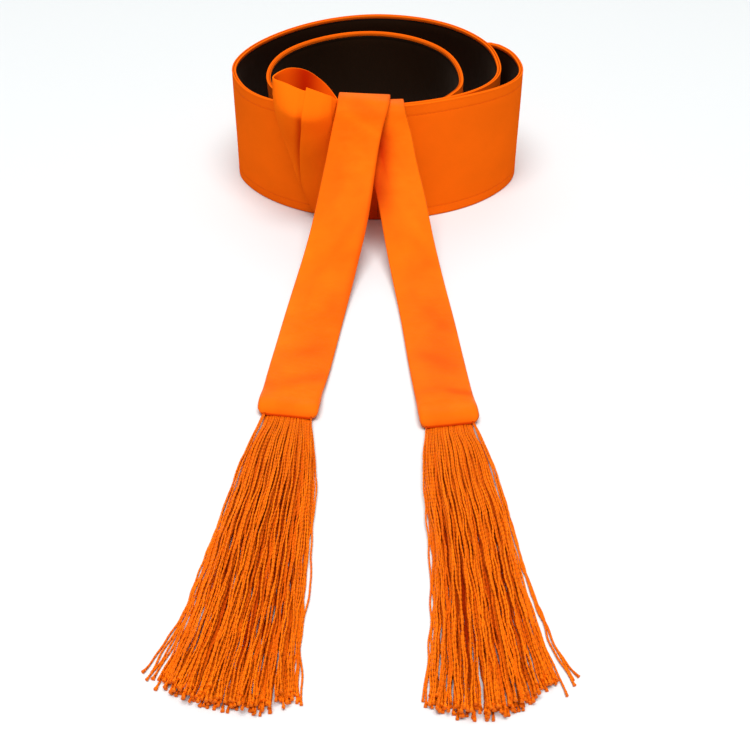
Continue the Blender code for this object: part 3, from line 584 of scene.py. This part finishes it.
RIGHT_SHADOWS = (
    ("beside the left tie", 252, -0.56, 76, 33, 8.4, 0.9),
    ("pillow above the hem", 13, 0.05, -5, 15, 8, -0.12),
    ("soft swell", 46, 0.35, -35, 13, 7, -0.08),
    ("soft swell", 88, -0.35, -60, 18, 7, -0.08),
    ("swell on the slope", 215, 0.2, -78, 26, 7, -0.1),
    ("swell under the rim", 284, 0.15, -12, 14, 6, -0.12),
    ("light right edge", 150, 0.97, 90, 125, 1.7, -0.14),
    ("dip at the right", 28, 0.6, -28, 10, 5, 0.36),
    ("lower part", 62, 0, 90, 48, 15, 0.12),
    ("dip at the left", 34, -0.4, 10, 11, 6.5, 0.14),
    ("soft dip", 66, 0, -45, 16, 8, 0.15),
    ("soft dip", 112, 0.3, -70, 18, 7, 0.18),
    ("soft dip", 150, -0.35, 80, 22, 6, 0.1),
    ("soft dip", 190, 0.35, -72, 18, 6, 0.14),
)


def tie_section(half_width, half_thick, steps):
    """Rings of a tie's section, (sideways, upwards, share of the top layer), at every station.

    Each long edge follows TIE_EDGE, its insets growing with the thickness so that the hem is plump.
    """
    inset, level, upper = column(TIE_EDGE, 1), column(TIE_EDGE, 2), column(TIE_EDGE, 3)
    plump = (half_thick / USUAL_HALF_THICK) ** 0.9
    left, right = (half_width - inset[None, :] * plump - step * upper[None, :] for step in steps)
    rise = half_thick * level[None, :]
    share = np.linspace(0.0, 1.0, 25)[None, 1:-1]
    top = (left[:, :1] + right[:, :1]) * share - left[:, :1]
    bottom = right[:, -1:] - (left[:, -1:] + right[:, -1:]) * share[:, ::2][:, :9]
    crown = half_thick * (1.0 - 0.03 * np.abs(2.0 * share - 1.0) ** 3)
    sideways = np.concatenate((top, right, bottom, -left[:, ::-1]), axis=1)
    upwards = np.concatenate((crown, rise, -half_thick + 0.0 * bottom, rise[:, ::-1]), axis=1)
    shows = within(1.25 - np.abs(2.0 * share - 1.0) ** 6) + 0.0 * top
    rest = np.zeros((len(sideways), sideways.shape[1] - top.shape[1]))
    return sideways, upwards, np.concatenate((shows, rest), axis=1)


def tie_rings(table, crease_table, shadow_table, steps):
    """A tie's cloth: rings down the outside to the hem, in over its lip, and back up the inside, the
    distance at each, and how much shade is painted on each point."""
    rows = np.array(table, float)
    coarse = distance_along(rows[:, :3])
    run = np.concatenate((np.arange(0.0, coarse[-4], TIE_STEP), np.linspace(coarse[-4], coarse[-1], 12)))
    line = smooth(coarse, rows, run)
    ahead = unit(smooth(coarse, rows[:, :3], run + 0.05) - smooth(coarse, rows[:, :3], run - 0.05))
    turn, tilt = np.radians(line[:, 5]), np.radians(line[:, 6])
    across = np.stack((np.cos(turn) * np.cos(tilt), -np.sin(turn) * np.cos(tilt), -np.sin(tilt)), axis=1)
    up = unit(np.cross(across, ahead))

    def rings(pick, narrower, flatter, forward, relief):
        half_width = 0.5 * line[pick, 3:4] - narrower
        half_thick = 0.5 * line[pick, 4:5] * flatter
        sideways, upwards, shows = tie_section(half_width, half_thick, steps)
        from_end = (run[-1] - run[pick])[:, None]
        upwards = upwards + relief * shows * creases(crease_table, from_end, sideways)
        points = line[pick, None, :3] + ahead[pick, None] * forward
        points = points + across[pick, None] * sideways[:, :, None] + up[pick, None] * upwards[:, :, None]
        points[:, :, 2] = np.maximum(points[:, :, 2], 0.0 if relief else 0.25)
        if not relief:
            return points, np.full(sideways.shape, HEM_SHADOW)
        shadow = TIE_PAINTED_SHADE + creases(shadow_table, from_end, sideways) / CREASE_DEPTH
        under = HEM_SHADOW * np.exp(-from_end / 0.35) + 0.0 * shadow
        return points, within(np.maximum(shadow, under))

    every = np.arange(len(run))
    lip_rings = [rings(every[-1:], *turned_in, 0.0) for turned_in in HEM_LIP]
    inside = rings(every[::-1][6:-2:3], TIE_CLOTH + 1.4, 1.0 - TIE_CLOTH, 0.0, 0.0)
    stacks = [rings(every, 0.0, 1.0, 0.0, 1.0)] + lip_rings + [inside]
    stack = np.concatenate([part[0] for part in stacks])
    return stack, distance_along(stack[:, 0]), np.concatenate([part[1] for part in stacks])


# The points of a tie's section that lie in its right and left seam.
TIE_SEAMS = (26, 44)
TIES = (("left", LEFT_TIE, LEFT_CREASES, LEFT_SHADOWS), ("right", RIGHT_TIE, RIGHT_CREASES, RIGHT_SHADOWS))
for side, table, crease_table, shadow_table in TIES:
    rings, run, shadow = tie_rings(table, crease_table, shadow_table, LAYER_STEPS[side])
    tie_girth = girth_of(rings) * MM
    # Painted shade along both seams, and along the right side wall just below the right seam.
    painted_lines = [(tie_girth[place], 0.0006, 0.45) for place in TIE_SEAMS]
    painted_lines.append((tie_girth[TIE_SEAMS[0]] + 0.0014, 0.0007, 0.72))
    tie_satin = cloth_material(f"tie_satin_{side}", SATIN_ORANGE, SATIN_LUSTRE, roughness=0.42,
                               specular=0.05, grain=0.30, pucker=1.0, shade=0.12, lines=painted_lines, shade_painted=True)
    tie = add_rings(f"satin_tie_{side}", rings, run, tie_satin, shadow=shadow)
    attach(tie, "root")
    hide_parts(f"tie_{side}")

# Half bow
# A strip of satin looped once and left open above, so that its hollow shows, dark from its own
# shade and from painted shade.  It is gathered to a pinch at its foot and lies over the band's rim at
# the front left.
BOW_WALL = 1.1
BOW_SEAT = 0.6
BOW_FULLNESS = 0.6
BOW_FRONT_GAP, BOW_BACK_GAP = 1.6, 0.8
BOW_AROUND = 112
BOW_DOWN = 56
FOOT_RADIUS = 109.8
FOLD_HOLLOW, FOLD_HOLLOW_WIDTH = 2.0, 2.2
# The bow's satin, and its reverse side in the hollow: duller, and darker as painted shade.
BOW_ORANGE, BOW_REVERSE_SHADED = (1.0, 0.150, 0.0034), (0.72, 0.075, 0.0015)
# Painted shade on the bow: under the soft bend, beside the pleat's fold, mid near side, towards the pinch.
BEND_SHADOW, FOLD_SHADOW, PANEL_SHADOW, PINCH_SHADOW = 0.10, 0.65, 0.20, 0.3

# The pleat's fold: how far down, from rim 0 to pinch 6, and its share of the way across from the left.
PLEAT_FOLD = (
    ("rim", 0, 0.53), ("soft bend", 1, 0.485), ("under the bend", 2, 0.46), ("upper", 3, 0.385),
    ("middle", 4, 0.255), ("lower", 5, 0.16), ("pinch", 6, 0.14),
)

# The bow's open upper rim, from its right end along the near side to the left bend and back: where,
# x, y, z.
BOW_RIM = (
    ("right end", -25.4, -1.6, 90.2), ("near", -28, -6.4, 93.4), ("near", -32.7, -9.4, 96.1),
    ("near", -39.1, -10.5, 98.5), ("near", -46.1, -10, 99.5), ("near", -53.1, -7.6, 100.9),
    ("near", -60.8, -3.8, 103), ("left bend", -67.8, -0.4, 104.5), ("far", -67, 4.9, 105.7),
    ("far", -60.4, 9, 107.9), ("far", -53.4, 10.1, 108.1), ("far", -45.6, 9.8, 106.2),
    ("far", -38, 8, 101.8), ("far", -31, 4.6, 96.2),
)

# Down to the foot: height at the left and right, reach to the left and right, stand-off in front, and
# how far forward the left bend comes.
BOW_SECTIONS = (
    ("soft bend", 90.5, 85.5, -69, -26, 22, 7),
    ("under the bend", 82, 76.5, -68.2, -25.8, 20.5, 7),
    ("upper", 67, 62, -65.4, -24.6, 17, 4),
    ("middle", 45, 43, -59.2, -24.4, 12, 1),
    ("lower", 22, 22, -52.6, -27, 8.6, 0),
    ("pinch", 5, 5, -41.5, -30, 6.6, 0),
)


def front_of_band(x, z):
    """How far back the band's outer face is: yc - sqrt(r^2 - (x - xc)^2), with r its foot and lean."""
    angle = -np.degrees(np.arccos((x - ROLL_CENTRE[0]) / FOOT_RADIUS))
    radius = FOOT_RADIUS + lean_at(angle) * within(z / BAND_HEIGHT)
    return ROLL_CENTRE[1] - np.sqrt(radius**2 - (x - ROLL_CENTRE[0]) ** 2)


def bow_grid():
    """The bow's middle surface: splines round its rim, narrowed down to the pinch.

    Below the rim the far side follows the band, and the near side stands off it by d sin(pi s)^f,
    with s the share of the way across.
    """
    rim = np.array([row[1:] for row in BOW_RIM])
    turns = len(rim)
    around = np.arange(BOW_AROUND) * turns / BOW_AROUND
    wrapped = np.vstack((rim[-3:], rim, rim[:4]))
    top = smooth(np.arange(-3.0, turns + 4.0), wrapped, around)
    left, right = top[:, 0].min(), top[:, 0].max()
    share = (top[:, 0] - left) / (right - left)
    bulge = np.sin(np.pi * within(share)) ** BOW_FULLNESS
    rings = [top]
    for _, z_left, z_right, x_left, x_right, stand_off, forward in BOW_SECTIONS:
        x = x_left + (x_right - x_left) * share
        z = z_left + (z_right - z_left) * share
        back = front_of_band(x, z) - BOW_SEAT - 0.5 * BOW_WALL - forward * (1.0 - share) ** 2
        near = back - BOW_FRONT_GAP - stand_off * bulge
        far = back - BOW_BACK_GAP * (1.0 - bulge)
        rings.append(np.stack((x, np.where(around <= turns / 2.0, near, far), z), axis=1))
    rings = np.array(rings)
    levels = np.arange(float(len(rings)))
    stations = np.linspace(0.0, levels[-1], BOW_DOWN)
    return smooth(levels, rings.reshape(len(rings), -1), stations).reshape(BOW_DOWN, BOW_AROUND, 3)


def normals_of(rings):
    """Outward normals of closed rings: the cross product of the ways round and down."""
    way_round = np.roll(rings, -1, axis=1) - np.roll(rings, 1, axis=1)
    return unit(np.cross(way_round, np.gradient(rings, axis=0)))


bow_middle = bow_grid()
bow_normal = normals_of(bow_middle)
down = np.linspace(0.0, len(BOW_SECTIONS), BOW_DOWN)
across_bow = (bow_middle[0, :, 0] - bow_middle[0, :, 0].min()) / np.ptp(bow_middle[0, :, 0])
near_side = slice(1, BOW_AROUND // 2)
fold_share = smooth(column(PLEAT_FOLD, 1), column(PLEAT_FOLD, 2), down)[:, 0]
fold_column = np.interp(-fold_share, -across_bow[near_side], np.arange(BOW_AROUND)[near_side])
off_fold = np.arange(BOW_AROUND)[None, :] - fold_column[:, None]
fold_hollow = np.exp(-((off_fold - 2.4) / FOLD_HOLLOW_WIDTH) ** 2)
fold_hollow = fold_hollow * np.linspace(0.25, 1.0, BOW_DOWN)[:, None]
bow_middle = bow_middle - bow_normal * (FOLD_HOLLOW * fold_hollow)[:, :, None]
bow_satin = cloth_material("bow_satin", BOW_ORANGE, SATIN_LUSTRE, roughness=0.5, specular=0.0, grain=0.30,
                           pucker=0.5, shade=0.06, shade_painted=True)
bow_reverse_shaded = cloth_material("bow_reverse_shaded", BOW_REVERSE_SHADED, SATIN_LUSTRE, roughness=0.7, specular=0.0,
                             grain=0.30, shade_painted=True)
half = 0.5 * BOW_WALL
# The rounded rim: each ring's share of half the wall, and how high it stands.
rolled = [bow_middle[:1] + bow_normal[:1] * half * turn + np.array((0.0, 0.0, lift))
          for turn, lift in ((-0.6, 0.3), (0.0, 0.42), (0.6, 0.3))]
bow_walls = [bow_middle + bow_normal * half, (bow_middle - bow_normal * half)[::-1]]
bow_rings = np.concatenate(bow_walls + rolled)
# Painted shade on the bow's outside and inside its hollow, and none on the rolled rim.
below_bend = within((down - 1.2) / 1.6)[:, None]
near_pinch = PINCH_SHADOW * within(down - 4.4)[:, None]
beside_fold = np.exp(-((off_fold - 1.6) / 2.6) ** 2)
beside_fold = FOLD_SHADOW * beside_fold * within(down - 0.6)[:, None]
mid_panel = PANEL_SHADOW * below_bend * np.sin(np.pi * within(across_bow))[None, :]
outside_shadow = within(BEND_SHADOW * below_bend + beside_fold + mid_panel + near_pinch)
# Painted shade inside the hollow, most in the middle and below the bend.
inside_shadow = np.exp(-((across_bow - 0.50) / 0.24) ** 2)[None, :] * np.ones((BOW_DOWN, 1))
inside_shadow = within(inside_shadow + 0.25 * below_bend)[::-1]
bow_shadow = np.concatenate((outside_shadow, inside_shadow, np.zeros((3, BOW_AROUND))))
bow = add_rings("satin_bow_loop", bow_rings, distance_along(bow_rings[:, 0]), bow_satin, round_about=True,
                shadow=bow_shadow)
bow.data.materials.append(bow_reverse_shaded)
reverse = np.zeros(len(bow.data.polygons), np.int32)
reverse[BOW_DOWN * BOW_AROUND:(2 * BOW_DOWN - 1) * BOW_AROUND] = 1
bow.data.polygons.foreach_set("material_index", reverse)
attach(bow, "root")
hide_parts("bow_loop")

# Knife pleat
# A flat fold of the bow's satin, pressed to the right over its near side, so that a shaded line runs
# from the rim to the pinch.
PLEAT_ENDS = 0.90
PLEAT_COLUMNS = 26
PLEAT_GAP = 0.3
PLEAT_PROUD = 1.3
PLEAT_CORNER = 1.2


def pleat_rings():
    """The near side's points from its right part to the fold, moved out past a seam, and thickened."""
    panel, way = bow_middle[:, near_side], bow_normal[:, near_side]
    station = np.arange(BOW_AROUND)[near_side].astype(float)
    first = np.interp(-PLEAT_ENDS, -across_bow[near_side], station)
    share = np.linspace(0.0, 1.0, PLEAT_COLUMNS)
    at = first + (fold_column[:, None] - first) * share[None, :]
    grid = np.array([smooth(station, row, places) for row, places in zip(panel, at)])
    out = unit(np.array([smooth(station, row, places) for row, places in zip(way, at)]))
    edge = np.sqrt(np.clip(1.0 - np.linspace(-1.0, 1.0, PLEAT_COLUMNS) ** 12, 0.15, 1.0))[None, :, None]
    proud = PLEAT_PROUD * share[None, :, None] ** 4
    middle = grid + out * (half + PLEAT_GAP + half + proud)
    middle[:3, :, 2] += PLEAT_CORNER * np.array((1.0, 0.6, 0.2))[:, None] * share[None, :] ** 3
    return np.concatenate((middle - out * half * edge, (middle + out * half * edge)[:, ::-1]), axis=1)


pleat_stack = pleat_rings()
# Painted shade on the pleat below the bend, more towards its right end by the tie, and towards the pinch.
to_tie = np.linspace(1.0, 0.0, PLEAT_COLUMNS)[None, :]
pleat_shadow = below_bend * (BEND_SHADOW + 0.12 * to_tie**0.5 + 0.30 * to_tie**6) + near_pinch
pleat_shadow = within(np.concatenate((pleat_shadow, pleat_shadow[:, ::-1]), axis=1))
pleat = add_rings("satin_bow_pleat", pleat_stack, distance_along(pleat_stack[:, 0]), bow_satin,
                  shadow=pleat_shadow)
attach(pleat, "root")
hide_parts("bow_pleat")

# The two fringes
# Cords of two plies twisted together, sewn into the mouth of each hem in four layers.  They fan out
# over the floor a little wavy and crossing, and each ends in a small brush where its plies open.
CORD_RADIUS = 0.58
CORD_FLATNESS, BRUSH_FLATNESS = 0.88, 0.85
CORD_SIDES = 6
CORD_RINGS = 176
CORD_PITCH = 6.4
CORD_RUN, USUAL_CORD = 215.0, 205.0
CORD_WANDER = 0.075
CORD_WAVE = 0.42
LOWEST_CORD = 0.62
BRUSH_LENGTH = 4.2
BRUSH_FLARE = 1.75
CORD_ORANGE, CORD_LUSTRE = (1.0, 0.172, 0.0034), (1.0, 0.50, 0.10)

# Each fan's outline on the floor, from its roots to its tips: y, left x, right x.
LEFT_FAN = (
    (-246, -60.6, -35.6), (-257, -61.3, -34.9), (-282, -66.9, -32.9), (-310, -70.4, -31.7),
    (-333, -73.4, -31.8), (-354, -76.6, -32.3), (-375, -78.4, -32.8), (-394, -80.4, -33.5),
    (-413, -82.6, -34), (-430, -85.6, -34.8), (-447, -89.4, -35), (-470, -95, -34),
)
RIGHT_FAN = (
    (-256, 28.2, 53.3), (-267, 27.5, 53.8), (-282, 26.3, 57.2), (-310, 25.4, 60.4),
    (-333, 26, 63.6), (-354, 27, 65.6), (-375, 27.3, 66.6), (-394, 27, 68.4),
    (-413, 26.4, 70.4), (-430, 25.2, 72.6), (-447, 24, 75.4), (-475, 21, 79),
)

# How far forward the cords' ends lie: share across the fan from the left, y.
LEFT_TIPS = ((0, -447), (0.2, -457.5), (0.4, -461), (0.6, -464), (0.8, -465), (1, -459))
RIGHT_TIPS = ((0, -461), (0.2, -467), (0.4, -468), (0.6, -466), (0.8, -458), (1, -448))

# Loose cords that leave the fan: x and y of one after another of the points that each passes.
LEFT_STRAYS = (
    (-35.6, -251, -31.6, -292, -29.9, -319, -30.8, -350, -30, -388, -32.9, -425, -31.8, -459),
    (-61, -247, -69, -289, -75.4, -333, -79, -357, -82.9, -379.8, -85, -398.9, -88, -411.2, -91.4, -422.5,
     -96.7, -436.7, -99.7, -442.5),
    (-60.5, -247, -69.5, -295, -76, -340, -81.6, -379.8, -83.8, -392.1, -85.1, -402.5, -87.2, -413.2,
     -91.3, -426.6, -95.8, -442.5),
    (-61, -247, -71, -305, -77.5, -350, -81, -385, -84.6, -408, -88.3, -426, -94.4, -446.5),
    (-60, -247, -69, -300, -75.5, -350, -79.5, -390, -83, -418, -87.5, -436, -92.5, -452.5),
    (-60.5, -247, -70, -300, -76.5, -345, -82, -385, -86.5, -415, -92, -434, -96.8, -447),
    (-35.2, -251, -33.4, -300, -32.8, -350, -32.6, -395, -33.6, -420, -31.6, -440, -30.6, -461),
)
RIGHT_STRAYS = (
    (53.5, -256, 60.6, -290, 63.5, -310, 66.8, -340, 70, -375, 72.2, -394, 76.4, -413, 80.2, -432,
     87, -445),
    (53, -256, 61.5, -305, 67, -350, 73, -395, 78.5, -425, 84, -447),
    (28, -261, 25, -300, 25.4, -345, 25.6, -394, 23.4, -430, 20, -459),
    (53.4, -256, 61, -298, 66, -340, 70.2, -380, 74.6, -410, 79.6, -436, 85, -450),
    (52.8, -256, 60, -300, 65, -345, 69, -385, 72.6, -415, 77, -440, 80.5, -456),
)

# Each layer's number of cords, and its height from 0 at the floor to 1 on top.
CORD_LAYERS = (("bottom", 54, 0.0), ("lower", 38, 0.34), ("upper", 36, 0.67), ("top", 30, 1.0))
# The cords' two waves: length, and share of CORD_WAVE.
CORD_WAVES = ((17.0, 0.55), (31.0, 1.0))
# The fringe's height: how far along, its lowest and highest cords.
FRINGE_HEIGHTS = (("root", 0, 0.65, 1.3), ("under the hem", 0.03, 0.7, 2.2), ("upper", 0.12, 1, 5.4),
                  ("middle", 0.4, 0.9, 7.9), ("lower", 0.8, 0.8, 7.2), ("tips", 1, 0.75, 5.6))


def fringe_lines(fan, tips, strays, roots, seed):
    """Middle lines of all cords of a fringe, (cord, ring, xyz), and how much shade is painted on each.

    Going t of the way, a cord lies at y = y0 + (y1 - y0) t and at x = left(y) + (right(y) - left(y)) p,
    where its place p eases from its root to its tip and swings a little.  Its height is its layer's
    share of the fringe's height at t, less towards the fan's two sides.  roots is y0 at the left and
    the right.
    """
    chance = np.random.default_rng(seed)
    t = np.linspace(0.0, 1.0, CORD_RINGS)[None, :]
    lines = []
    shadows = []
    for _, count, layer in CORD_LAYERS:
        begin = (np.arange(count) + 0.5 + chance.uniform(-0.3, 0.3, count)) / count
        freedom = 0.2 + 0.8 * layer
        finish = begin + freedom * chance.normal(0.0, CORD_WANDER, count)
        finish = np.where(finish < 0.0, -finish, np.where(finish > 1.0, 2.0 - finish, finish))
        bunch = 0.015 * layer * np.sin(2.0 * np.pi * (9.0 * begin[:, None] + 1.3 * t) + 6.0 * layer)
        swing = freedom * chance.uniform(-0.04, 0.04, (count, 1))
        swing = swing * np.sin(np.pi * t * chance.uniform(1.0, 2.2, (count, 1)))
        off_middle = 2.0 * begin[:, None] - 1.0
        loosen = 0.05 * np.sign(off_middle) * off_middle**8 * t * t
        eased = (finish - begin)[:, None] * t * t * (3.0 - 2.0 * t)
        place = begin[:, None] + eased + (bunch + swing) * np.sqrt(t) + loosen
        skew = roots[0] + (roots[1] - roots[0]) * begin
        end = smooth(column(tips, 0), column(tips, 1), finish)[:, 0] + chance.uniform(-2.2, 5.2, count)
        y = skew[:, None] + (end - skew)[:, None] * t
        sides = smooth(-column(fan, 0), [row[1:] for row in fan], -y.ravel())
        left, right = sides[:, 0].reshape(y.shape), sides[:, 1].reshape(y.shape)
        low, high = (np.interp(t, column(FRINGE_HEIGHTS, 1), column(FRINGE_HEIGHTS, k)) for k in (2, 3))
        mound = np.sqrt(np.clip(1.0 - (2.0 * place - 1.0) ** 4, 0.05, 1.0))
        uneven = chance.uniform(-1.5, 0.7, (count, 1)) * layer
        uneven = uneven * np.sin(np.pi * t * chance.uniform(0.8, 1.6, (count, 1)))
        z = low + (high - low) * layer * mound + uneven
        lines.append(np.stack((left + (right - left) * place, y, np.maximum(z, low)), axis=2))
        # Painted shade on the lower layers, most in the middle of the fan, fading at the tips.
        buried_shade = (1.0 - layer) * within(1.0 - np.abs(2.0 * place - 1.0) ** 5)
        shadows.append(buried_shade * np.interp(t, (0.0, 0.8, 0.96, 1.0), (1.0, 1.0, 0.35, 0.1)))
    for index, points in enumerate(strays):
        flat = np.array(points, float).reshape(-1, 2)
        reach = distance_along(flat)
        path = smooth(reach / reach[-1], flat, t[0])
        lift = np.interp(t[0], (0.0, 0.25, 0.6, 1.0), (3.0, 2.2 + 0.8 * index, 1.0, 0.7))
        lines.append(np.concatenate((path, lift[:, None]), axis=1)[None])
        shadows.append(np.zeros((1, CORD_RINGS)))
    lines = np.concatenate(lines)
    # Painted shadow on every cord's root, under the hem.
    shadows = np.maximum(np.concatenate(shadows), 0.9 * np.exp(-((t / 0.022) ** 4)))
    count = len(lines)
    for length, size in CORD_WAVES:
        phase = chance.uniform(0.0, 2.0 * np.pi, (count, 2))
        wave = 2.0 * np.pi * t * USUAL_CORD / (length * chance.uniform(0.8, 1.25, (count, 1)))
        ease = CORD_WAVE * size * np.sqrt(t) * chance.uniform(0.4, 1.0, (count, 1))
        lines[:, :, 0] += ease * np.sin(wave + phase[:, :1])
        lines[:, :, 2] += 0.4 * ease * np.sin(wave + phase[:, 1:])
    lines[:, :, 2] = np.maximum(lines[:, :, 2], LOWEST_CORD)
    return lines, shadows, chance


def cord_rings(lines, shadows, chance):
    """Two-ply cords: a flat oval turned steadily along each line, r (cos a, f sin a), so that its edge
    winds like a ply.  In the last few millimetres the oval opens out into a brush."""
    ahead = unit(np.gradient(lines, axis=1))
    side = unit(np.cross(ahead, np.array((0.0, 0.0, 1.0))))
    over = np.cross(side, ahead)
    length = np.linalg.norm(np.diff(lines, axis=1), axis=2).sum(axis=1)[:, None]
    share = np.linspace(0.0, 1.0, lines.shape[1])[None, :]
    to_end = length * (1.0 - share)
    opening = within(1.0 - to_end / BRUSH_LENGTH) ** 1.6
    flare = 1.0 + (BRUSH_FLARE * chance.uniform(0.75, 1.1, (len(lines), 1)) - 1.0) * opening
    flatness = CORD_FLATNESS + (BRUSH_FLATNESS - CORD_FLATNESS) * opening
    spin = 2.0 * np.pi * length * share / CORD_PITCH + chance.uniform(0.0, 2.0 * np.pi, (len(lines), 1))
    a = np.arange(CORD_SIDES) * 2.0 * np.pi / CORD_SIDES
    fullness = np.interp(share, (0.0, 0.12, 1.0), (0.78, 1.0, 1.0))
    radius = (CORD_RADIUS * fullness * flare)[:, :, None]
    oval_x, oval_y = radius * np.cos(a), radius * flatness[:, :, None] * np.sin(a)
    turned_x = oval_x * np.cos(spin)[:, :, None] - oval_y * np.sin(spin)[:, :, None]
    turned_y = oval_x * np.sin(spin)[:, :, None] + oval_y * np.cos(spin)[:, :, None]
    points = lines[:, :, None] + side[:, :, None] * turned_x[..., None]
    points = points + over[:, :, None] * turned_y[..., None]
    # Painted shade on each cord's underside, added to the painted shade it was given.
    underside_shade = 0.20 * (1.0 - (points - lines[:, :, None])[..., 2] / np.maximum(radius, 0.1))
    points[..., 2] = np.maximum(points[..., 2], 0.02)
    return points, within(shadows[:, :, None] + underside_shade)


cord_cotton = cloth_material("fringe_cord", CORD_ORANGE, CORD_LUSTRE, roughness=0.40, specular=0.12,
                             grain=0.8, shade=0.22, shade_painted=True)
FRINGES = (
    ("left", LEFT_FAN, LEFT_TIPS, LEFT_STRAYS, (-245.4, -249.8), 11),
    ("right", RIGHT_FAN, RIGHT_TIPS, RIGHT_STRAYS, (-259.0, -254.2), 23),
)
for side, fan, tips, strays, roots, seed in FRINGES:
    lines, shadows, chance = fringe_lines(fan, tips, strays, roots, seed)
    rings, shadow = cord_rings(lines, shadows, chance)
    cut = len(rings) // 2
    run = np.linspace(0.0, CORD_RUN, CORD_RINGS)
    under = add_rings(f"fringe_cords_{side}_under", rings[:cut], run, cord_cotton, groups=cut,
                      shadow=shadow[:cut])
    upper = add_rings(f"fringe_cords_{side}_upper", rings[cut:], run, cord_cotton, groups=len(rings) - cut,
                      shadow=shadow[cut:])
    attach(under, "root")
    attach(upper, "root")
    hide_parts(f"fringe_{side}")

# Floor, light and camera
# A white studio floor under one large softbox overhead, with a weaker one behind and pale
# surroundings.  The camera looks down on the belt from the front, at the photograph's angle and distance.
CAMERA_AT = (0.0, -842.0, 407.0)
CAMERA_DOWN = 32.6
FOCAL_PIXELS, FRAME_PIXELS, SENSOR = 1300.0, 750.0, 36.0
FLOOR_SIZE, FLOOR_LEVEL = 24.0, -0.0002
# Each light: name, place in metres from the belt, where it looks, size, and power.
LIGHTS = (
    ("softbox_overhead", (0.0, -1.7, 4.85), (0.0, 0.0, 0.0), 4.0, 335.0),
    ("softbox_behind", (-0.4, 3.6, 3.9), (0.0, 0.0, 0.0), 5.0, 50.0),
)
SURROUND_STRENGTH = 0.28
FLOOR_WHITE = (0.715, 0.738, 0.742)


def aim(item, target):
    """Turns a light so that its -Z looks at the target."""
    gaze = np.array(target, float) - np.array(item.location)
    level = math.hypot(gaze[0], gaze[1])
    item.rotation_euler = (math.atan2(level, -gaze[2]), 0.0, math.atan2(-gaze[0], gaze[1]))


floor_mesh = bpy.data.meshes.new("studio_floor")
edge = 0.5 * FLOOR_SIZE
corners = [(x * edge, y * edge, FLOOR_LEVEL) for x, y in ((-1, -1), (1, -1), (1, 1), (-1, 1))]
floor_mesh.from_pydata(corners, [], [(0, 1, 2, 3)])
floor_finish = bpy.data.materials.new("studio_white")
floor_finish.use_nodes = True
floor_shader = floor_finish.node_tree.nodes["Principled BSDF"]
set_inputs(floor_shader, {"Base Color": (*FLOOR_WHITE, 1.0), "Roughness": 0.7})
floor_mesh.materials.append(floor_finish)
floor = bpy.data.objects.new("studio_floor", floor_mesh)
bpy.context.collection.objects.link(floor)
for name, spot, target, size, power in LIGHTS:
    lamp = bpy.data.lights.new(name, "AREA")
    lamp.shape = "DISK"
    lamp.size = size
    lamp.energy = power
    holder = bpy.data.objects.new(name, lamp)
    holder.location = spot
    aim(holder, target)
    bpy.context.collection.objects.link(holder)
world = bpy.data.worlds.new("pale_studio")
world.use_nodes = True
surround = world.node_tree.nodes["Background"]
set_inputs(surround, {"Color": (1.0, 1.0, 1.0, 1.0), "Strength": SURROUND_STRENGTH})
bpy.context.scene.world = world
bpy.context.scene.view_settings.view_transform = "Standard"
camera_data = bpy.data.cameras.new("camera")
camera_data.sensor_width = SENSOR
camera_data.lens = FOCAL_PIXELS / FRAME_PIXELS * SENSOR
camera_data.clip_start = 0.01
camera = bpy.data.objects.new("camera", camera_data)
camera.location = tuple((np.array(CAMERA_AT) + PLACE) * MM)
camera.rotation_euler = (math.radians(90.0 - CAMERA_DOWN), 0.0, 0.0)
bpy.context.collection.objects.link(camera)
bpy.context.scene.camera = camera
